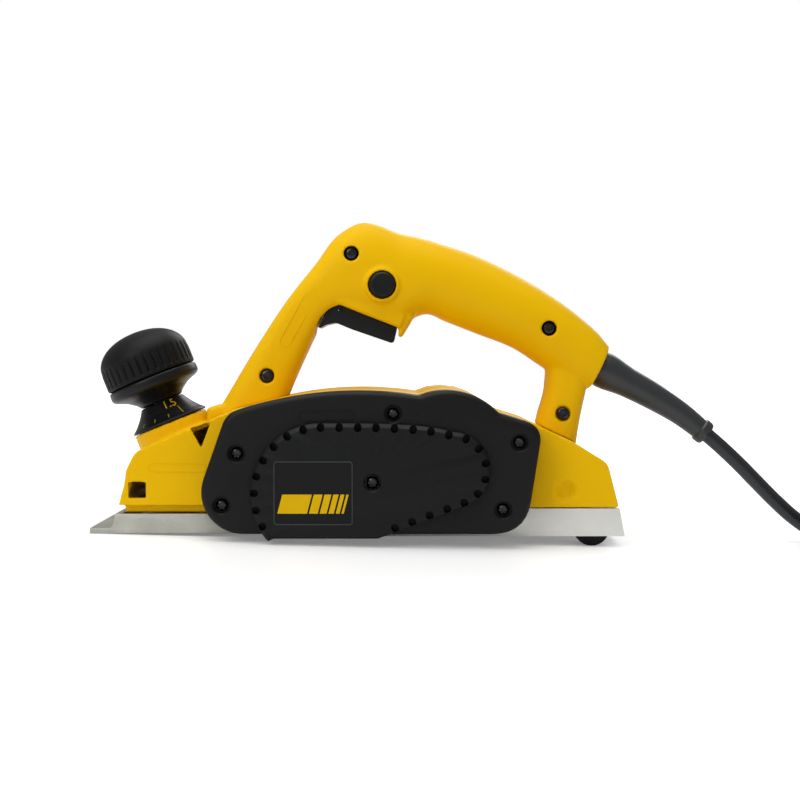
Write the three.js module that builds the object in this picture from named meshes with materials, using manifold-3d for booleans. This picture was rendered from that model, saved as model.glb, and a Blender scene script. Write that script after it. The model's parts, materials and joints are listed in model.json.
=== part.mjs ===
// Electric hand planer, 82 mm cut. Millimetres, +Z up. The tool faces -X and its belt side faces -Y.
// The tool is built level, with the rear sole at z = 0, and then stood on its nose and its parking foot.
import * as THREE from "three";
import { mergeVertices } from "three/addons/utils/BufferGeometryUtils.js";
import Module from "manifold-3d";

const wasm = await Module();
wasm.setup();

// ---------- driving dimensions ----------
const gap = 0.3; // between pieces that touch
const wall = 3; // housing wall
const skin = 2.6; // handle shell wall

const soleLength = 290;
const shoeWidth = 86;
const noseX = -soleLength / 2;
const tailX = soleLength / 2;
const shoeSide = shoeWidth / 2;
const shoeWall = 3;

const drum = { x: -21, z: 27, tip: 27, core: 25, left: -39.2, right: 42.8 };
const drumSwing = drum.tip + 2; // what the castings leave free round the drum
const motor = { x: 48, z: 42 };
const barrelRadius = 37.6;
const barrelEnd = 62;

const cutDepth = 1.5; // the front shoe stands this far above the rear sole
const knobTilt = THREE.MathUtils.degToRad(22);
const knobBase = { x: -108, z: 59.8 }; // middle of the dial's lower rim

const frontPlate = { top: 4.4, mouth: -32.5, wallTop: 12.1, rampFoot: -134.8, rampTop: -131.3 };
const rearPlate = { thick: 4.5, wallTop: 15, tailTopX: 142.3, pocketFront: 9, pocketRear: 138.6 };

const foot = { x: 127.7, z: 3.95, r: 9.85, pivotX: 128.5, pivotZ: 9, left: -38, right: -18, pin: 2 };
foot.swing = THREE.MathUtils.degToRad(100);

const cover = { face: -64, plate: 2.5, rim: -43 - gap };
const boss = { face: -70, leftR: 32, rightR: 18, x: 50.5, z: 38 }; // raised where the pulleys turn
const pulleyY = { left: -60, right: -49.5 };
const drumPulleyR = 17.5;
const motorPulleyR = 10.5;
const beltThick = 2.4;
const bearing = { big: 13, bigBore: 5, small: 11, smallBore: 4, end: 9.5, endBore: 3.5 };

const chute = { x: -58, z: 50, r: 15, wall: 2, end: 66 };
const beltScrews = [
  [-63, 46.3],
  [-71, 18.9],
  [19.6, 67.2],
  [86.3, 52.1],
  [77.7, 16.6],
];
const midScrew = [8.8, 31.5];
const handleScrews = [
  [-4, 154.8],
  [-51.5, 86.4],
  [106.6, 113],
  [114.8, 65.1],
];
const screwHead = 3.7;
const screwShank = 1.75;
const screwRecess = 4.3;
const lockButton = { x: 13.2, z: 137.2, r: 7.6, face: -21.5, travel: 3 };

const cordR = 4.25;

// sides of a round piece, by its size
const fine = 28;
const usual = 18;
const small = 12;
const tiny = 8;

// ---------- solids ----------
function solid(geometry) {
  const bare = geometry.clone();
  bare.deleteAttribute("normal");
  bare.deleteAttribute("uv");
  const merged = mergeVertices(bare, 1e-4);
  return new wasm.Manifold(
    new wasm.Mesh({
      numProp: 3,
      vertProperties: merged.attributes.position.array,
      triVerts: new Uint32Array(merged.index.array),
    }),
  );
}

// A solid back as a geometry for its mesh.
function geometryOf(body) {
  const mesh = body.getMesh();
  const places = new Float32Array(mesh.numVert * 3);
  for (let i = 0; i < mesh.numVert; i++) {
    places.set(mesh.vertProperties.subarray(i * mesh.numProp, i * mesh.numProp + 3), i * 3);
  }
  const geometry = new THREE.BufferGeometry();
  geometry.setAttribute("position", new THREE.BufferAttribute(places, 3));
  geometry.setIndex(new THREE.BufferAttribute(new Uint32Array(mesh.triVerts), 1));
  geometry.computeVertexNormals();
  return geometry;
}

const join = (...bodies) => bodies.reduce((a, b) => a.add(b));
const cut = (body, ...tools) => tools.reduce((a, b) => a.subtract(b), body);

function box(x0, x1, y0, y1, z0, z1) {
  const g = new THREE.BoxGeometry(x1 - x0, y1 - y0, z1 - z0);
  g.translate((x0 + x1) / 2, (y0 + y1) / 2, (z0 + z1) / 2);
  return solid(g);
}

// A round bar along Y.
function rodY(x, z, r, y0, y1, sides = usual, r1 = r) {
  const g = new THREE.CylinderGeometry(r1, r, y1 - y0, sides);
  g.translate(x, (y0 + y1) / 2, z);
  return solid(g);
}

const tubeY = (x, z, outer, inner, y0, y1, sides) =>
  cut(rodY(x, z, outer, y0, y1, sides), rodY(x, z, inner, y0 - 1, y1 + 1, sides));

// A shape drawn in X and Z, given thickness from y0 to y1.
function slabY(shape, y0, y1, curveSegments = 8) {
  const g = new THREE.ExtrudeGeometry(shape, { depth: y1 - y0, bevelEnabled: false, curveSegments });
  g.rotateX(Math.PI / 2);
  g.translate(0, y1, 0);
  return solid(g);
}

const polygon = (points) => new THREE.Shape(points.map(([x, z]) => new THREE.Vector2(x, z)));

// The outline moved inwards by d. Points run anticlockwise.
function inset(points, d) {
  return points.map((p, i) => {
    const before = points[(i + points.length - 1) % points.length];
    const after = points[(i + 1) % points.length];
    const a = new THREE.Vector2(-(p[1] - before[1]), p[0] - before[0]).normalize();
    const b = new THREE.Vector2(-(after[1] - p[1]), after[0] - p[0]).normalize();
    const middle = a.clone().add(b).normalize();
    const reach = d / Math.max(0.35, middle.dot(a));
    return [p[0] + middle.x * reach, p[1] + middle.y * reach];
  });
}

function outlineOf(shape, divisions) {
  const points = shape.getPoints(divisions).map((p) => [p.x, p.y]);
  const kept = points.filter((p, i) => {
    const q = points[(i + 1) % points.length];
    return Math.hypot(p[0] - q[0], p[1] - q[1]) > 0.4;
  });
  return THREE.ShapeUtils.area(kept.map(([x, z]) => new THREE.Vector2(x, z))) > 0 ? kept : kept.reverse();
}

// Two circles and their outer tangents, as a belt runs round two pulleys.
function beltShape(x1, z1, r1, x2, z2, r2) {
  const lean = Math.atan2(z2 - z1, x2 - x1);
  const touch = Math.acos((r1 - r2) / Math.hypot(x2 - x1, z2 - z1));
  const shape = new THREE.Shape();
  shape.absarc(x1, z1, r1, lean + touch, lean - touch + 2 * Math.PI, false);
  shape.absarc(x2, z2, r2, lean - touch, lean + touch, false);
  shape.closePath();
  return shape;
}

// A closed skin over rings of points, each ring with as many points.
function skinOver(rings) {
  const n = rings[0].length;
  const places = rings.flat();
  const faces = [];
  for (let i = 0; i + 1 < rings.length; i++) {
    for (let j = 0; j < n; j++) {
      const k = (j + 1) % n;
      const [a, b, c, d] = [i * n + j, i * n + k, (i + 1) * n + k, (i + 1) * n + j];
      faces.push(a, b, c, a, c, d);
    }
  }
  for (const [at, flip] of [
    [0, true],
    [rings.length - 1, false],
  ]) {
    const middle = rings[at].reduce((sum, p) => sum.add(p), new THREE.Vector3()).divideScalar(n);
    const hub = places.push(middle) - 1;
    for (let j = 0; j < n; j++) {
      const [a, b] = [at * n + j, at * n + ((j + 1) % n)];
      faces.push(...(flip ? [hub, b, a] : [hub, a, b]));
    }
  }
  const g = new THREE.BufferGeometry();
  g.setAttribute("position", new THREE.Float32BufferAttribute(places.flatMap((p) => [p.x, p.y, p.z]), 3));
  g.setIndex(faces);
  const body = solid(g);
  return body.volume() > 0 ? body : solid(g.setIndex(faces.reverse()));
}

// A grip whose section at each station reaches from an outer to an inner point and `half` to each side.
function loft(stations, shrink = 0, steps = shrink ? 1 : 2, sides = shrink ? 12 : 16) {
  const curve = (pick) => new THREE.CatmullRomCurve3(stations.map(pick), false, "centripetal");
  const outer = curve((s) => new THREE.Vector3(s.outer[0], 0, s.outer[1]));
  const inner = curve((s) => new THREE.Vector3(s.inner[0], 0, s.inner[1]));
  const across = curve((s) => new THREE.Vector3(s.half, s.square, 0));
  const rings = [];
  const count = (stations.length - 1) * steps;
  for (let i = 0; i <= count; i++) {
    const [o, n, w] = [outer, inner, across].map((c) => c.getPoint(i / count));
    const middle = o.clone().add(n).multiplyScalar(0.5);
    const up = o.clone().sub(n);
    const high = up.length() / 2 - shrink;
    up.normalize();
    const ring = [];
    for (let j = 0; j < sides; j++) {
      const t = (2 * Math.PI * j) / sides;
      const rounded = (v) => Math.sign(v) * Math.abs(v) ** (2 / w.y);
      const p = middle.clone().addScaledVector(up, high * rounded(Math.cos(t)));
      p.y = (w.x - shrink) * rounded(Math.sin(t));
      ring.push(p);
    }
    rings.push(ring);
  }
  return skinOver(rings);
}

// A round bar of changing radius along a line of points.
function taperedBar(points, radii, sides = 16) {
  const curve = new THREE.CatmullRomCurve3(points, false, "centripetal");
  const rings = radii.map(([at, r]) => {
    const p = curve.getPoint(at);
    const along = curve.getTangent(at);
    const side = new THREE.Vector3(0, 1, 0);
    const up = new THREE.Vector3().crossVectors(along, side).normalize();
    return Array.from({ length: sides }, (_, j) => {
      const t = (2 * Math.PI * j) / sides;
      return p
        .clone()
        .addScaledVector(side, r * Math.cos(t))
        .addScaledVector(up, r * Math.sin(t));
    });
  });
  return skinOver(rings);
}

// ---------- materials ----------
const finish = (color, roughness, metalness = 0) =>
  new THREE.MeshStandardMaterial({ color, roughness, metalness });
const yellow = finish(0xe2a800, 0.42);
const black = finish(0x232527, 0.5);
const rubber = finish(0x2a2b2d, 0.75);
const castAluminium = finish(0xc9cac6, 0.45, 0.9);
const steel = finish(0xb8babd, 0.3, 1);
const blackSteel = finish(0x1b1c1e, 0.35, 0.8);
const copper = finish(0xa65a2c, 0.35, 1);
const carbide = finish(0x8f9398, 0.22, 1);

const tool = new THREE.Group();
function add(name, body, material, parent = tool) {
  const mesh = new THREE.Mesh(geometryOf(body), material);
  mesh.name = name;
  parent.add(mesh);
  return mesh;
}

// ---------- outlines ----------
// The arched top that the housing and the belt cover share, from the front corner to the rear slope.
const arch = { x: 1, r: 210, top: 79.2, from: -62 };
arch.z = arch.top - arch.r;
const archHeight = (x) => arch.z + Math.sqrt(arch.r ** 2 - (x - arch.x) ** 2);

// The higher place where the circle of the arch crosses that of the barrel.
function archMeetsBarrel() {
  const [dx, dz] = [motor.x - arch.x, motor.z - arch.z];
  const d = Math.hypot(dx, dz);
  const along = (arch.r ** 2 - barrelRadius ** 2 + d ** 2) / (2 * d);
  const off = Math.sqrt(arch.r ** 2 - along ** 2);
  return arch.x + (along * dx - off * dz) / d;
}

function archTop(shape, rearX) {
  const meet = archMeetsBarrel();
  const onArch = (x) => Math.acos((x - arch.x) / arch.r);
  const onBarrel = (x) => Math.acos((x - motor.x) / barrelRadius);
  shape.absarc(arch.x, arch.z, arch.r, onArch(arch.from), onArch(meet), true);
  shape.absarc(motor.x, motor.z, barrelRadius, onBarrel(meet), onBarrel(rearX), true);
}

const coverShape = new THREE.Shape();
coverShape.moveTo(-60, 3.5);
coverShape.absarc(-60, 25.5, 22, -Math.PI / 2, -Math.PI - 0.35, true);
coverShape.lineTo(-70.6, 61.5);
coverShape.quadraticCurveTo(-68.6, 67.6, arch.from, archHeight(arch.from));
archTop(coverShape, 75.6);
coverShape.lineTo(91, 62.8);
coverShape.quadraticCurveTo(97.6, 60.3, 97.6, 53);
coverShape.lineTo(92.6, 21);
coverShape.quadraticCurveTo(90, 3.4, 72, 3.4);
coverShape.closePath();
const coverOutline = outlineOf(coverShape, 7);

const housingShape = new THREE.Shape();
housingShape.moveTo(-129.4, 16.8);
housingShape.lineTo(-126.2, 29);
housingShape.lineTo(-125.6, 35);
housingShape.lineTo(-122.4, 42);
housingShape.quadraticCurveTo(-120.4, 45.9, -115.8, 47.9);
housingShape.lineTo(arch.from - 5, archHeight(arch.from) - 1);
housingShape.lineTo(arch.from, archHeight(arch.from));
archTop(housingShape, 75.6);
housingShape.lineTo(93.4, 62);
housingShape.lineTo(118, 50.6);
housingShape.lineTo(133.6, 40.9);
housingShape.quadraticCurveTo(135.8, 39.5, 136.6, 36.6);
housingShape.lineTo(142.1, rearPlate.wallTop + gap);
housingShape.lineTo(-20, rearPlate.wallTop + gap);
housingShape.lineTo(-20, 16.8);
housingShape.closePath();
const housingOutline = outlineOf(housingShape, 7);

// The knob's axis, upwards, and a bar, cone or lathe set along it.
const knobAxis = new THREE.Vector3(-Math.sin(knobTilt), 0, Math.cos(knobTilt));
const upKnob = new THREE.Quaternion().setFromUnitVectors(new THREE.Vector3(0, 1, 0), knobAxis);
const knobFoot = new THREE.Vector3(knobBase.x, 0, knobBase.z);
function turned(profile, sides = fine) {
  const g = new THREE.LatheGeometry(
    profile.map(([r, h]) => new THREE.Vector2(r, h)),
    sides,
  );
  g.applyQuaternion(upKnob);
  g.translate(knobFoot.x, knobFoot.y, knobFoot.z);
  return solid(g);
}
const knobRod = (r, h0, h1, sides = usual) =>
  turned(
    [
      [0, h0],
      [r, h0],
      [r, h1],
      [0, h1],
    ],
    sides,
  );

// ---------- rear shoe: sole plate and the webs that carry the drum's bearings ----------
const drumFree = rodY(drum.x, drum.z, drumSwing, -60, 60, fine);
const shoeEar = [71.5, 84, 13, 22.5];
const footSlot = box(117.5, tailX + 5, foot.left - 0.6, foot.right + 0.6, -5, rearPlate.wallTop + 5);

function leftWeb(grow) {
  return join(
    rodY(drum.x, drum.z, 17 + grow, -48 - grow, -40.3 + grow, usual),
    box(-14 - grow, 30 + grow, -48 - grow, -40.3 + grow, 6 - grow, 39 + grow),
  );
}

function rightWeb(grow) {
  return join(
    rodY(drum.x, drum.z, 14.4 + grow, 43.4 - grow, 50.6 + grow, usual),
    box(-12 - grow, 30 + grow, 43.4 - grow, 50.6 + grow, 16 - grow, 36 + grow),
    box(9 - grow, 30 + grow, 38 - grow, 46.5 + grow, 13 - grow, 30 + grow),
  );
}

const rearShoeEar = box(shoeEar[0], shoeEar[1], -shoeSide, -shoeSide + 8, shoeEar[2] - 2, shoeEar[3]);
const pivotLug = box(121.5, 137, foot.right + 0.6, foot.right + 4.6, 3, rearPlate.wallTop);
const rearProfile = polygon([
  [-10, 0],
  [tailX, 0],
  [rearPlate.tailTopX, rearPlate.wallTop],
  [-10, rearPlate.wallTop],
]);
let rearShoe = cut(
  slabY(rearProfile, -shoeSide, shoeSide),
  box(
    rearPlate.pocketFront,
    rearPlate.pocketRear,
    -shoeSide + shoeWall,
    shoeSide - shoeWall,
    rearPlate.thick,
    rearPlate.wallTop + 5,
  ),
);
rearShoe = join(rearShoe, cut(join(leftWeb(0), rightWeb(0)), box(-80, 80, 43, 60, -5, 12.4)), rearShoeEar);
rearShoe = cut(rearShoe, rodY(drum.x, drum.z, drumSwing, -40.3, 43.4, fine));
rearShoe = join(cut(rearShoe, footSlot), pivotLug);
const shoeScrews = [
  [94, -30],
  [94, 30],
  [128, 30],
];
rearShoe = cut(
  rearShoe,
  rodY(drum.x, drum.z, bearing.big + gap, -48.5, -41, usual),
  rodY(drum.x, drum.z, 9, -42, -39, usual),
  rodY(drum.x, drum.z, bearing.small + gap, 44.2, 51, usual),
  rodY(drum.x, drum.z, 6, 43, 45, small),
  rodY(...midScrew, screwShank + gap, -49, -41, tiny),
  rodY(shoeEar[0] + 6.2, 16.6, screwShank + gap, -44, -34.5, tiny),
  rodY(foot.pivotX, foot.pivotZ, foot.pin + gap, -41.6, -12, small),
);
for (const [x, y] of shoeScrews) {
  const hole = new THREE.CylinderGeometry(2.3, 2.3, 12, 16).rotateX(Math.PI / 2).translate(x, y, 3);
  const sink = new THREE.CylinderGeometry(2.3, 4.6, 2.4, 20).rotateX(Math.PI / 2).translate(x, y, 1.15);
  rearShoe = cut(rearShoe, solid(hole), solid(sink));
}
add("rear_shoe", rearShoe, castAluminium);

// Screws that hold the sole to the housing, heads flush from below.
shoeScrews.forEach(([x, y], i) => {
  const profile = [
    [0, 0.3],
    [4.2, 0.3],
    [screwShank, 2.4],
    [screwShank, 22],
    [0, 22],
  ];
  const g = new THREE.LatheGeometry(
    profile.map(([r, h]) => new THREE.Vector2(r, h)),
    20,
  );
  g.rotateX(Math.PI / 2).translate(x, y, 0);
  const socket = box(x - 1.4, x + 1.4, y - 1.4, y + 1.4, -1, 1.3);
  add(`shoe_screw_${i + 1}`, cut(solid(g), socket), steel);
});

// ---------- front shoe: slides along the knob's axis ----------
const shoeStem = { r: 9, top: -28, foot: -60 };
function frontShoe() {
  const plate = new THREE.Shape();
  plate.moveTo(noseX, cutDepth);
  plate.lineTo(frontPlate.mouth, cutDepth);
  plate.lineTo(frontPlate.mouth, cutDepth + 4.6);
  plate.lineTo(-66, cutDepth + 4.6);
  plate.lineTo(-66, frontPlate.wallTop);
  plate.lineTo(frontPlate.rampTop, frontPlate.wallTop);
  plate.quadraticCurveTo(-132, frontPlate.top, frontPlate.rampFoot, frontPlate.top);
  plate.lineTo(noseX, frontPlate.top);
  plate.closePath();
  const block = slabY(plate, -shoeSide, shoeSide);
  const pocket = box(frontPlate.rampTop + 3.5, -40, -shoeSide + shoeWall, shoeSide - shoeWall, 6.1, 20);
  const groove = polygon([
    [-2.6, cutDepth - 0.1],
    [2.6, cutDepth - 0.1],
    [0, cutDepth + 2.5],
  ]);
  const vee = new THREE.ExtrudeGeometry(groove, { depth: 80, bevelEnabled: false });
  vee.applyMatrix4(new THREE.Matrix4().makeBasis(
    new THREE.Vector3(0, -1, 0),
    new THREE.Vector3(0, 0, 1),
    new THREE.Vector3(-1, 0, 0),
  ));
  vee.translate(-52, 0, 0);
  const stem = cut(knobRod(shoeStem.r, shoeStem.foot, shoeStem.top), box(-160, 0, -60, 60, -20, 5));
  return cut(
    join(cut(block, pocket), stem),
    solid(vee),
    drumFree,
    knobRod(4 + gap, -52, -20, small),
  );
}
add("front_shoe", frontShoe(), castAluminium);

// ---------- housing ----------
const housingCavity = join(
  slabY(polygon(inset(housingOutline, wall)), -shoeSide + wall, shoeSide - wall),
  box(-123, 138, -shoeSide + wall, shoeSide - wall, 10, 22),
);
const skirt = cut(
  box(-126.2, -37, -39.5, 39.5, 12.7, 20),
  box(-123.4, -30, -37, 37, 10, 25),
);
const belly = new THREE.Shape();
belly.moveTo(-78, 18);
belly.lineTo(-74, 46);
belly.quadraticCurveTo(-70, 66, -46, 71.5);
belly.lineTo(8, 76.8);
belly.lineTo(40, 76);
belly.lineTo(76, 46);
belly.lineTo(70, 14.6);
belly.lineTo(-74, 13.4);
belly.closePath();
const bellySkin = 53.5;
const tenons = [
  slabY(
    polygon([
      [-64, 66],
      [-46, 66],
      [-41.5, 86],
      [-45, 92],
      [-56, 92],
    ]),
    -6,
    6,
  ),
  slabY(
    polygon([
      [106, 52],
      [119, 46],
      [120.6, 70],
      [108, 73],
    ]),
    -6,
    6,
  ),
];
const handleFree = (grow) => cut(
  slabY(polygon(inset(housingOutline, -grow)), -60, 60),
  box(-200, 200, -80, 80, -20, 10),
);

// Middle of the foot's round sole once it has swung up behind its pin.
function foldedFoot() {
  const [dx, dz] = [foot.x - foot.pivotX, foot.z - foot.pivotZ];
  const [c, s] = [Math.cos(foot.swing), Math.sin(foot.swing)];
  return [foot.pivotX + dx * c - dz * s, foot.pivotZ + dx * s + dz * c];
}

function mainHousing() {
  const shell = cut(slabY(polygon(housingOutline), -shoeSide, shoeSide), housingCavity);
  const bellyOuter = slabY(belly, shoeSide - wall, bellySkin);
  const bellyInner = slabY(polygon(inset(outlineOf(belly, 6), 2.6)), shoeSide - wall - 1, bellySkin - 2.6);
  const barrel = rodY(motor.x, motor.z, barrelRadius, 30, barrelEnd, fine);
  const barrelBore = cut(rodY(motor.x, motor.z, 35.4, -38, barrelEnd + 1, fine), box(0, 100, 30, 80, -10, 17.8));
  const collar = cut(knobRod(21.5, -16, -gap), box(-170, -40, -60, 60, 0, 43));
  const bosses = beltScrews.slice(0, 4).map(([x, z]) => rodY(x, z, 4.6, -shoeSide, -32, small));
  const bearingSeat = rodY(motor.x, motor.z, 14.6, -46.6, -37, usual);
  const tailPosts = shoeScrews.flatMap(([x, y]) => [
    box(x - 5, x + 5, y - 5, y + 5, rearPlate.thick + gap, 32),
    box(x - 1.2, x + 1.2, ...(y < 0 ? [-41, y] : [y, 41]), rearPlate.wallTop + gap, 32),
  ]);
  let body = join(shell, bellyOuter, barrel, skirt);
  body = cut(body, bellyInner, barrelBore, box(-20, 150, 20, 80, -10, rearPlate.wallTop + gap));
  body = join(body, collar, bearingSeat, ...bosses, ...tenons);
  body = join(body, ...tailPosts);
  body = cut(
    body,
    rodY(motor.x, motor.z, bearing.small + gap, -47, -38.6, usual),
    rodY(motor.x, motor.z, 7, -40, -30, small),
    leftWeb(gap),
    rightWeb(gap),
    box(shoeEar[0] - gap, shoeEar[1] + gap, -shoeSide - 1, -shoeSide + 8 + gap, 10, shoeEar[3] + gap),
    rodY(drum.x, drum.z, drumSwing + 0.4, -44, 43.2, fine),
    rodY(chute.x, chute.z, chute.r + gap, 36, 70, usual),
    knobRod(shoeStem.r + gap, -60, -15),
    knobRod(5 + gap, -20, 5, small),
    box(-123.6, -115.1, -50, 50, 20.8, 29.3),
    rodY(...foldedFoot(), foot.r + 0.7, foot.left - 0.6, foot.right + 0.6, fine),
    slabY(
      polygon([
        [-89, 58.2],
        [-80, 61.9],
        [-84.4, 49],
      ]),
      -50,
      -35,
    ),
  );
  for (const [x, z] of beltScrews) body = cut(body, rodY(x, z, screwShank + gap, -44, -33.5, tiny));
  for (const [x, z] of [handleScrews[1], handleScrews[3]]) {
    body = cut(body, rodY(x, z, screwShank + gap, -8, 8, tiny));
  }
  for (const [x, y] of shoeScrews) {
    const hole = new THREE.CylinderGeometry(screwShank + gap, screwShank + gap, 20, 16);
    body = cut(body, solid(hole.rotateX(Math.PI / 2).translate(x, y, 12.6)));
  }
  const dimple = new THREE.SphereGeometry(8, 20, 12).translate(112.7, -shoeSide - 5, 24.6);
  return cut(body, solid(dimple));
}
add("main_housing", mainHousing(), yellow);

// ---------- handle: two shells screwed together ----------
const station = (outer, inner, half, square) => ({ outer, inner, half, square });
const gripStations = [
  station([-88, 52], [-60, 36], 15.5, 3.2),
  station([-69.6, 83], [-43.2, 67.8], 15, 3.2),
  station([-56.6, 105.5], [-33.2, 92], 14.5, 3.2),
  station([-41.3, 129.9], [-21, 117], 14.5, 3.1),
  station([-26.1, 148.7], [-9, 123.5], 15.5, 2.9),
  station([-12, 166], [3, 119.5], 17, 2.7),
  station([3, 173.1], [11.5, 116.4], 17.6, 2.6),
  station([12.5, 171], [17.5, 114.3], 17.8, 2.6),
  station([22, 167.2], [24, 114], 17.8, 2.5),
  station([34.4, 164.5], [30.5, 118.6], 17.8, 2.4),
  station([48, 160.5], [38.6, 121.2], 17.8, 2.3),
  station([64.2, 155.1], [48.8, 117.1], 17.8, 2.2),
  station([82.8, 145.8], [67, 110], 17.6, 2.2),
  station([103.8, 133], [87.7, 101.8], 17, 2.3),
  station([122.4, 120.2], [104.9, 90.6], 16, 2.4),
  station([136.4, 108.6], [121, 80.5], 14.5, 2.5),
  station([142, 102.6], [130.6, 78.9], 13, 2.5),
];
const rearPostStations = [
  station([132, 96], [109, 99], 12.5, 2.7),
  station([129.2, 79.5], [105.4, 80.5], 13, 2.8),
  station([126, 64.3], [101.5, 65], 13.5, 2.8),
  station([122.6, 43], [97, 45], 14, 2.8),
];
const triggerHalf = 11;
const switchSide = { left: -6, right: 10 };
const triggerPivot = [-11, 125];

function handleShells() {
  const body = join(loft(gripStations), loft(rearPostStations));
  const fin = slabY(
    polygon([
      [20.5, 116],
      [21.8, 109.4],
      [23.8, 107.4],
      [27.6, 113.4],
      [32, 121],
      [24, 124],
    ]),
    -12.5,
    12.5,
  );
  const ring = rodY(lockButton.x, lockButton.z, 9.4, -19.4, -10, usual);
  const hollow = join(loft(gripStations, skin), loft(rearPostStations, skin));
  const triggerSlot = slabY(
    polygon([
      [-25, 104],
      [-24.5, 113],
      [-18.5, 125.5],
      [-14, 132],
      [-8, 140],
      [16, 138],
      [24.4, 119],
      [23.4, 114.6],
      [21.8, 108],
      [21, 100],
    ]),
    -triggerHalf - 0.6,
    triggerHalf + 0.6,
  );
  const outer = join(body, fin, ring);
  const posts = handleScrews.map(([x, z], i) => {
    const stop = i % 2 ? 6 + gap : 0;
    const whole = rodY(x, z, 5.4, -25, 25, small);
    return stop ? cut(whole, box(x - 10, x + 10, -stop, stop, z - 10, z + 10)) : whole;
  });
  const cordHole = taperedBar(protectorPath.slice(0, 3), [
    [0, 7.4 + gap],
    [1, 7.4 + gap],
  ]);
  const pivotBosses = cut(
    rodY(...triggerPivot, 4.2, -15, 15, small),
    rodY(...triggerPivot, 5, -triggerHalf - 0.9, triggerHalf + 0.9, small),
  );
  const switchRib = box(12, 16, switchSide.right + gap, 18, 130, 150);
  let shells = join(cut(outer, hollow), join(...posts, pivotBosses, switchRib).intersect(outer));
  shells = cut(
    shells,
    triggerSlot,
    handleFree(gap),
    rodY(lockButton.x, lockButton.z, lockButton.r + gap, -30, -8, usual),
    cordHole,
    rodY(...triggerPivot, 1.6 + gap, -12.8, 12.8, small),
  );
  for (const [x, z] of handleScrews) {
    shells = cut(shells, rodY(x, z, screwShank + gap, -20, 9, tiny), rodY(x, z, screwRecess, -30, -11.3, small));
  }
  const half = (side) => (side < 0 ? box(-200, 250, -40, -gap / 2, 0, 220) : box(-200, 250, gap / 2, 40, 0, 220));
  return [-1, 1].map((side) => {
    const pieces = shells.intersect(half(side)).decompose();
    return pieces.sort((a, b) => b.volume() - a.volume())[0];
  });
}

// ---------- cord protector, from inside the handle's tail to its end ring ----------
const protectorPath = [
  [124, 97.4],
  [133, 92.7],
  [140, 89],
  [150.5, 83.6],
  [166, 75.3],
  [183, 64.8],
  [198.2, 52.8],
].map(([x, z]) => new THREE.Vector3(x, 0, z));

const [handleLeft, handleRight] = handleShells();
add("handle_left", handleLeft, yellow);
add("handle_right", handleRight, yellow);

handleScrews.forEach(([x, z], i) => {
  const head = rodY(x, z, screwHead, -14.2, -11.6, small);
  const socket = rodY(x, z, 1.5, -15, -12.9, 6);
  add(`handle_screw_${i + 1}`, cut(join(head, rodY(x, z, screwShank, -12, 8.4, tiny)), socket), blackSteel);
});

const protector = taperedBar(protectorPath, [
  [0, 7.4],
  [0.31, 7.4],
  [0.335, 10.4],
  [0.375, 10.2],
  [0.45, 8.6],
  [0.52, 7.7],
  [0.66, 7.1],
  [0.8, 6.4],
  [0.955, 5.7],
  [0.96, 6.9],
  [1, 6.9],
]);
add("cord_protector", cut(protector, handleLeft, handleRight), rubber);

// ---------- belt cover ----------
function screwInCover(name, x, z, headFace, tipFace) {
  const head = rodY(x, z, screwHead, headFace, headFace + 2.4, small);
  const socket = rodY(x, z, 1.5, headFace - 1, headFace + 1.2, 6);
  add(name, cut(join(head, rodY(x, z, screwShank, headFace + 1, tipFace, tiny)), socket), blackSteel);
}

function beltCover() {
  const bossOutline = outlineOf(beltShape(drum.x, drum.z, boss.leftR, boss.x, boss.z, boss.rightR), 11);
  const tray = cut(
    slabY(polygon(coverOutline), cover.face, cover.rim),
    slabY(polygon(inset(coverOutline, cover.plate)), cover.face + cover.plate, cover.rim + 1),
  );
  const raised = cut(
    slabY(polygon(bossOutline), boss.face, cover.face + cover.plate),
    box(-120, 120, -90, 0, -30, 2.4),
  );
  const hollow = cut(
    slabY(polygon(inset(bossOutline, cover.plate)), boss.face + cover.plate, cover.face + cover.plate + 1),
    box(-120, 120, -90, 0, -30, 5),
  );
  const pillars = beltScrews.map(([x, z]) => rodY(x, z, 6, cover.face, cover.rim, small));
  const middle = rodY(...midScrew, 6, boss.face + 1, -48 - gap, small);
  const inside = slabY(polygon(inset(coverOutline, 0.6)), cover.face, cover.rim);
  let body = join(tray, raised);
  body = join(cut(body, hollow), ...pillars.map((p) => p.intersect(inside)), middle);
  for (const [x, z] of beltScrews) {
    body = cut(body, rodY(x, z, screwShank + gap, -70, -40, tiny), rodY(x, z, screwRecess, -70, cover.face + 4, small));
  }
  body = cut(
    body,
    rodY(...midScrew, screwShank + gap, -80, -40, tiny),
    rodY(...midScrew, screwRecess, -80, boss.face + 4, small),
  );
  return body;
}
add("belt_cover", beltCover(), black);
beltScrews.forEach(([x, z], i) => screwInCover(`cover_screw_${i + 1}`, x, z, cover.face + 1.3, -36));
screwInCover("cover_screw_6", ...midScrew, boss.face + 1.3, -43);

const label = polygon([
  [-43, 9.5],
  [-1.4, 9.5],
  [-1.4, 43],
  [-43, 43],
]);
add("label_plate", slabY(label, boss.face - 0.7, boss.face - gap), black);

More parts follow.
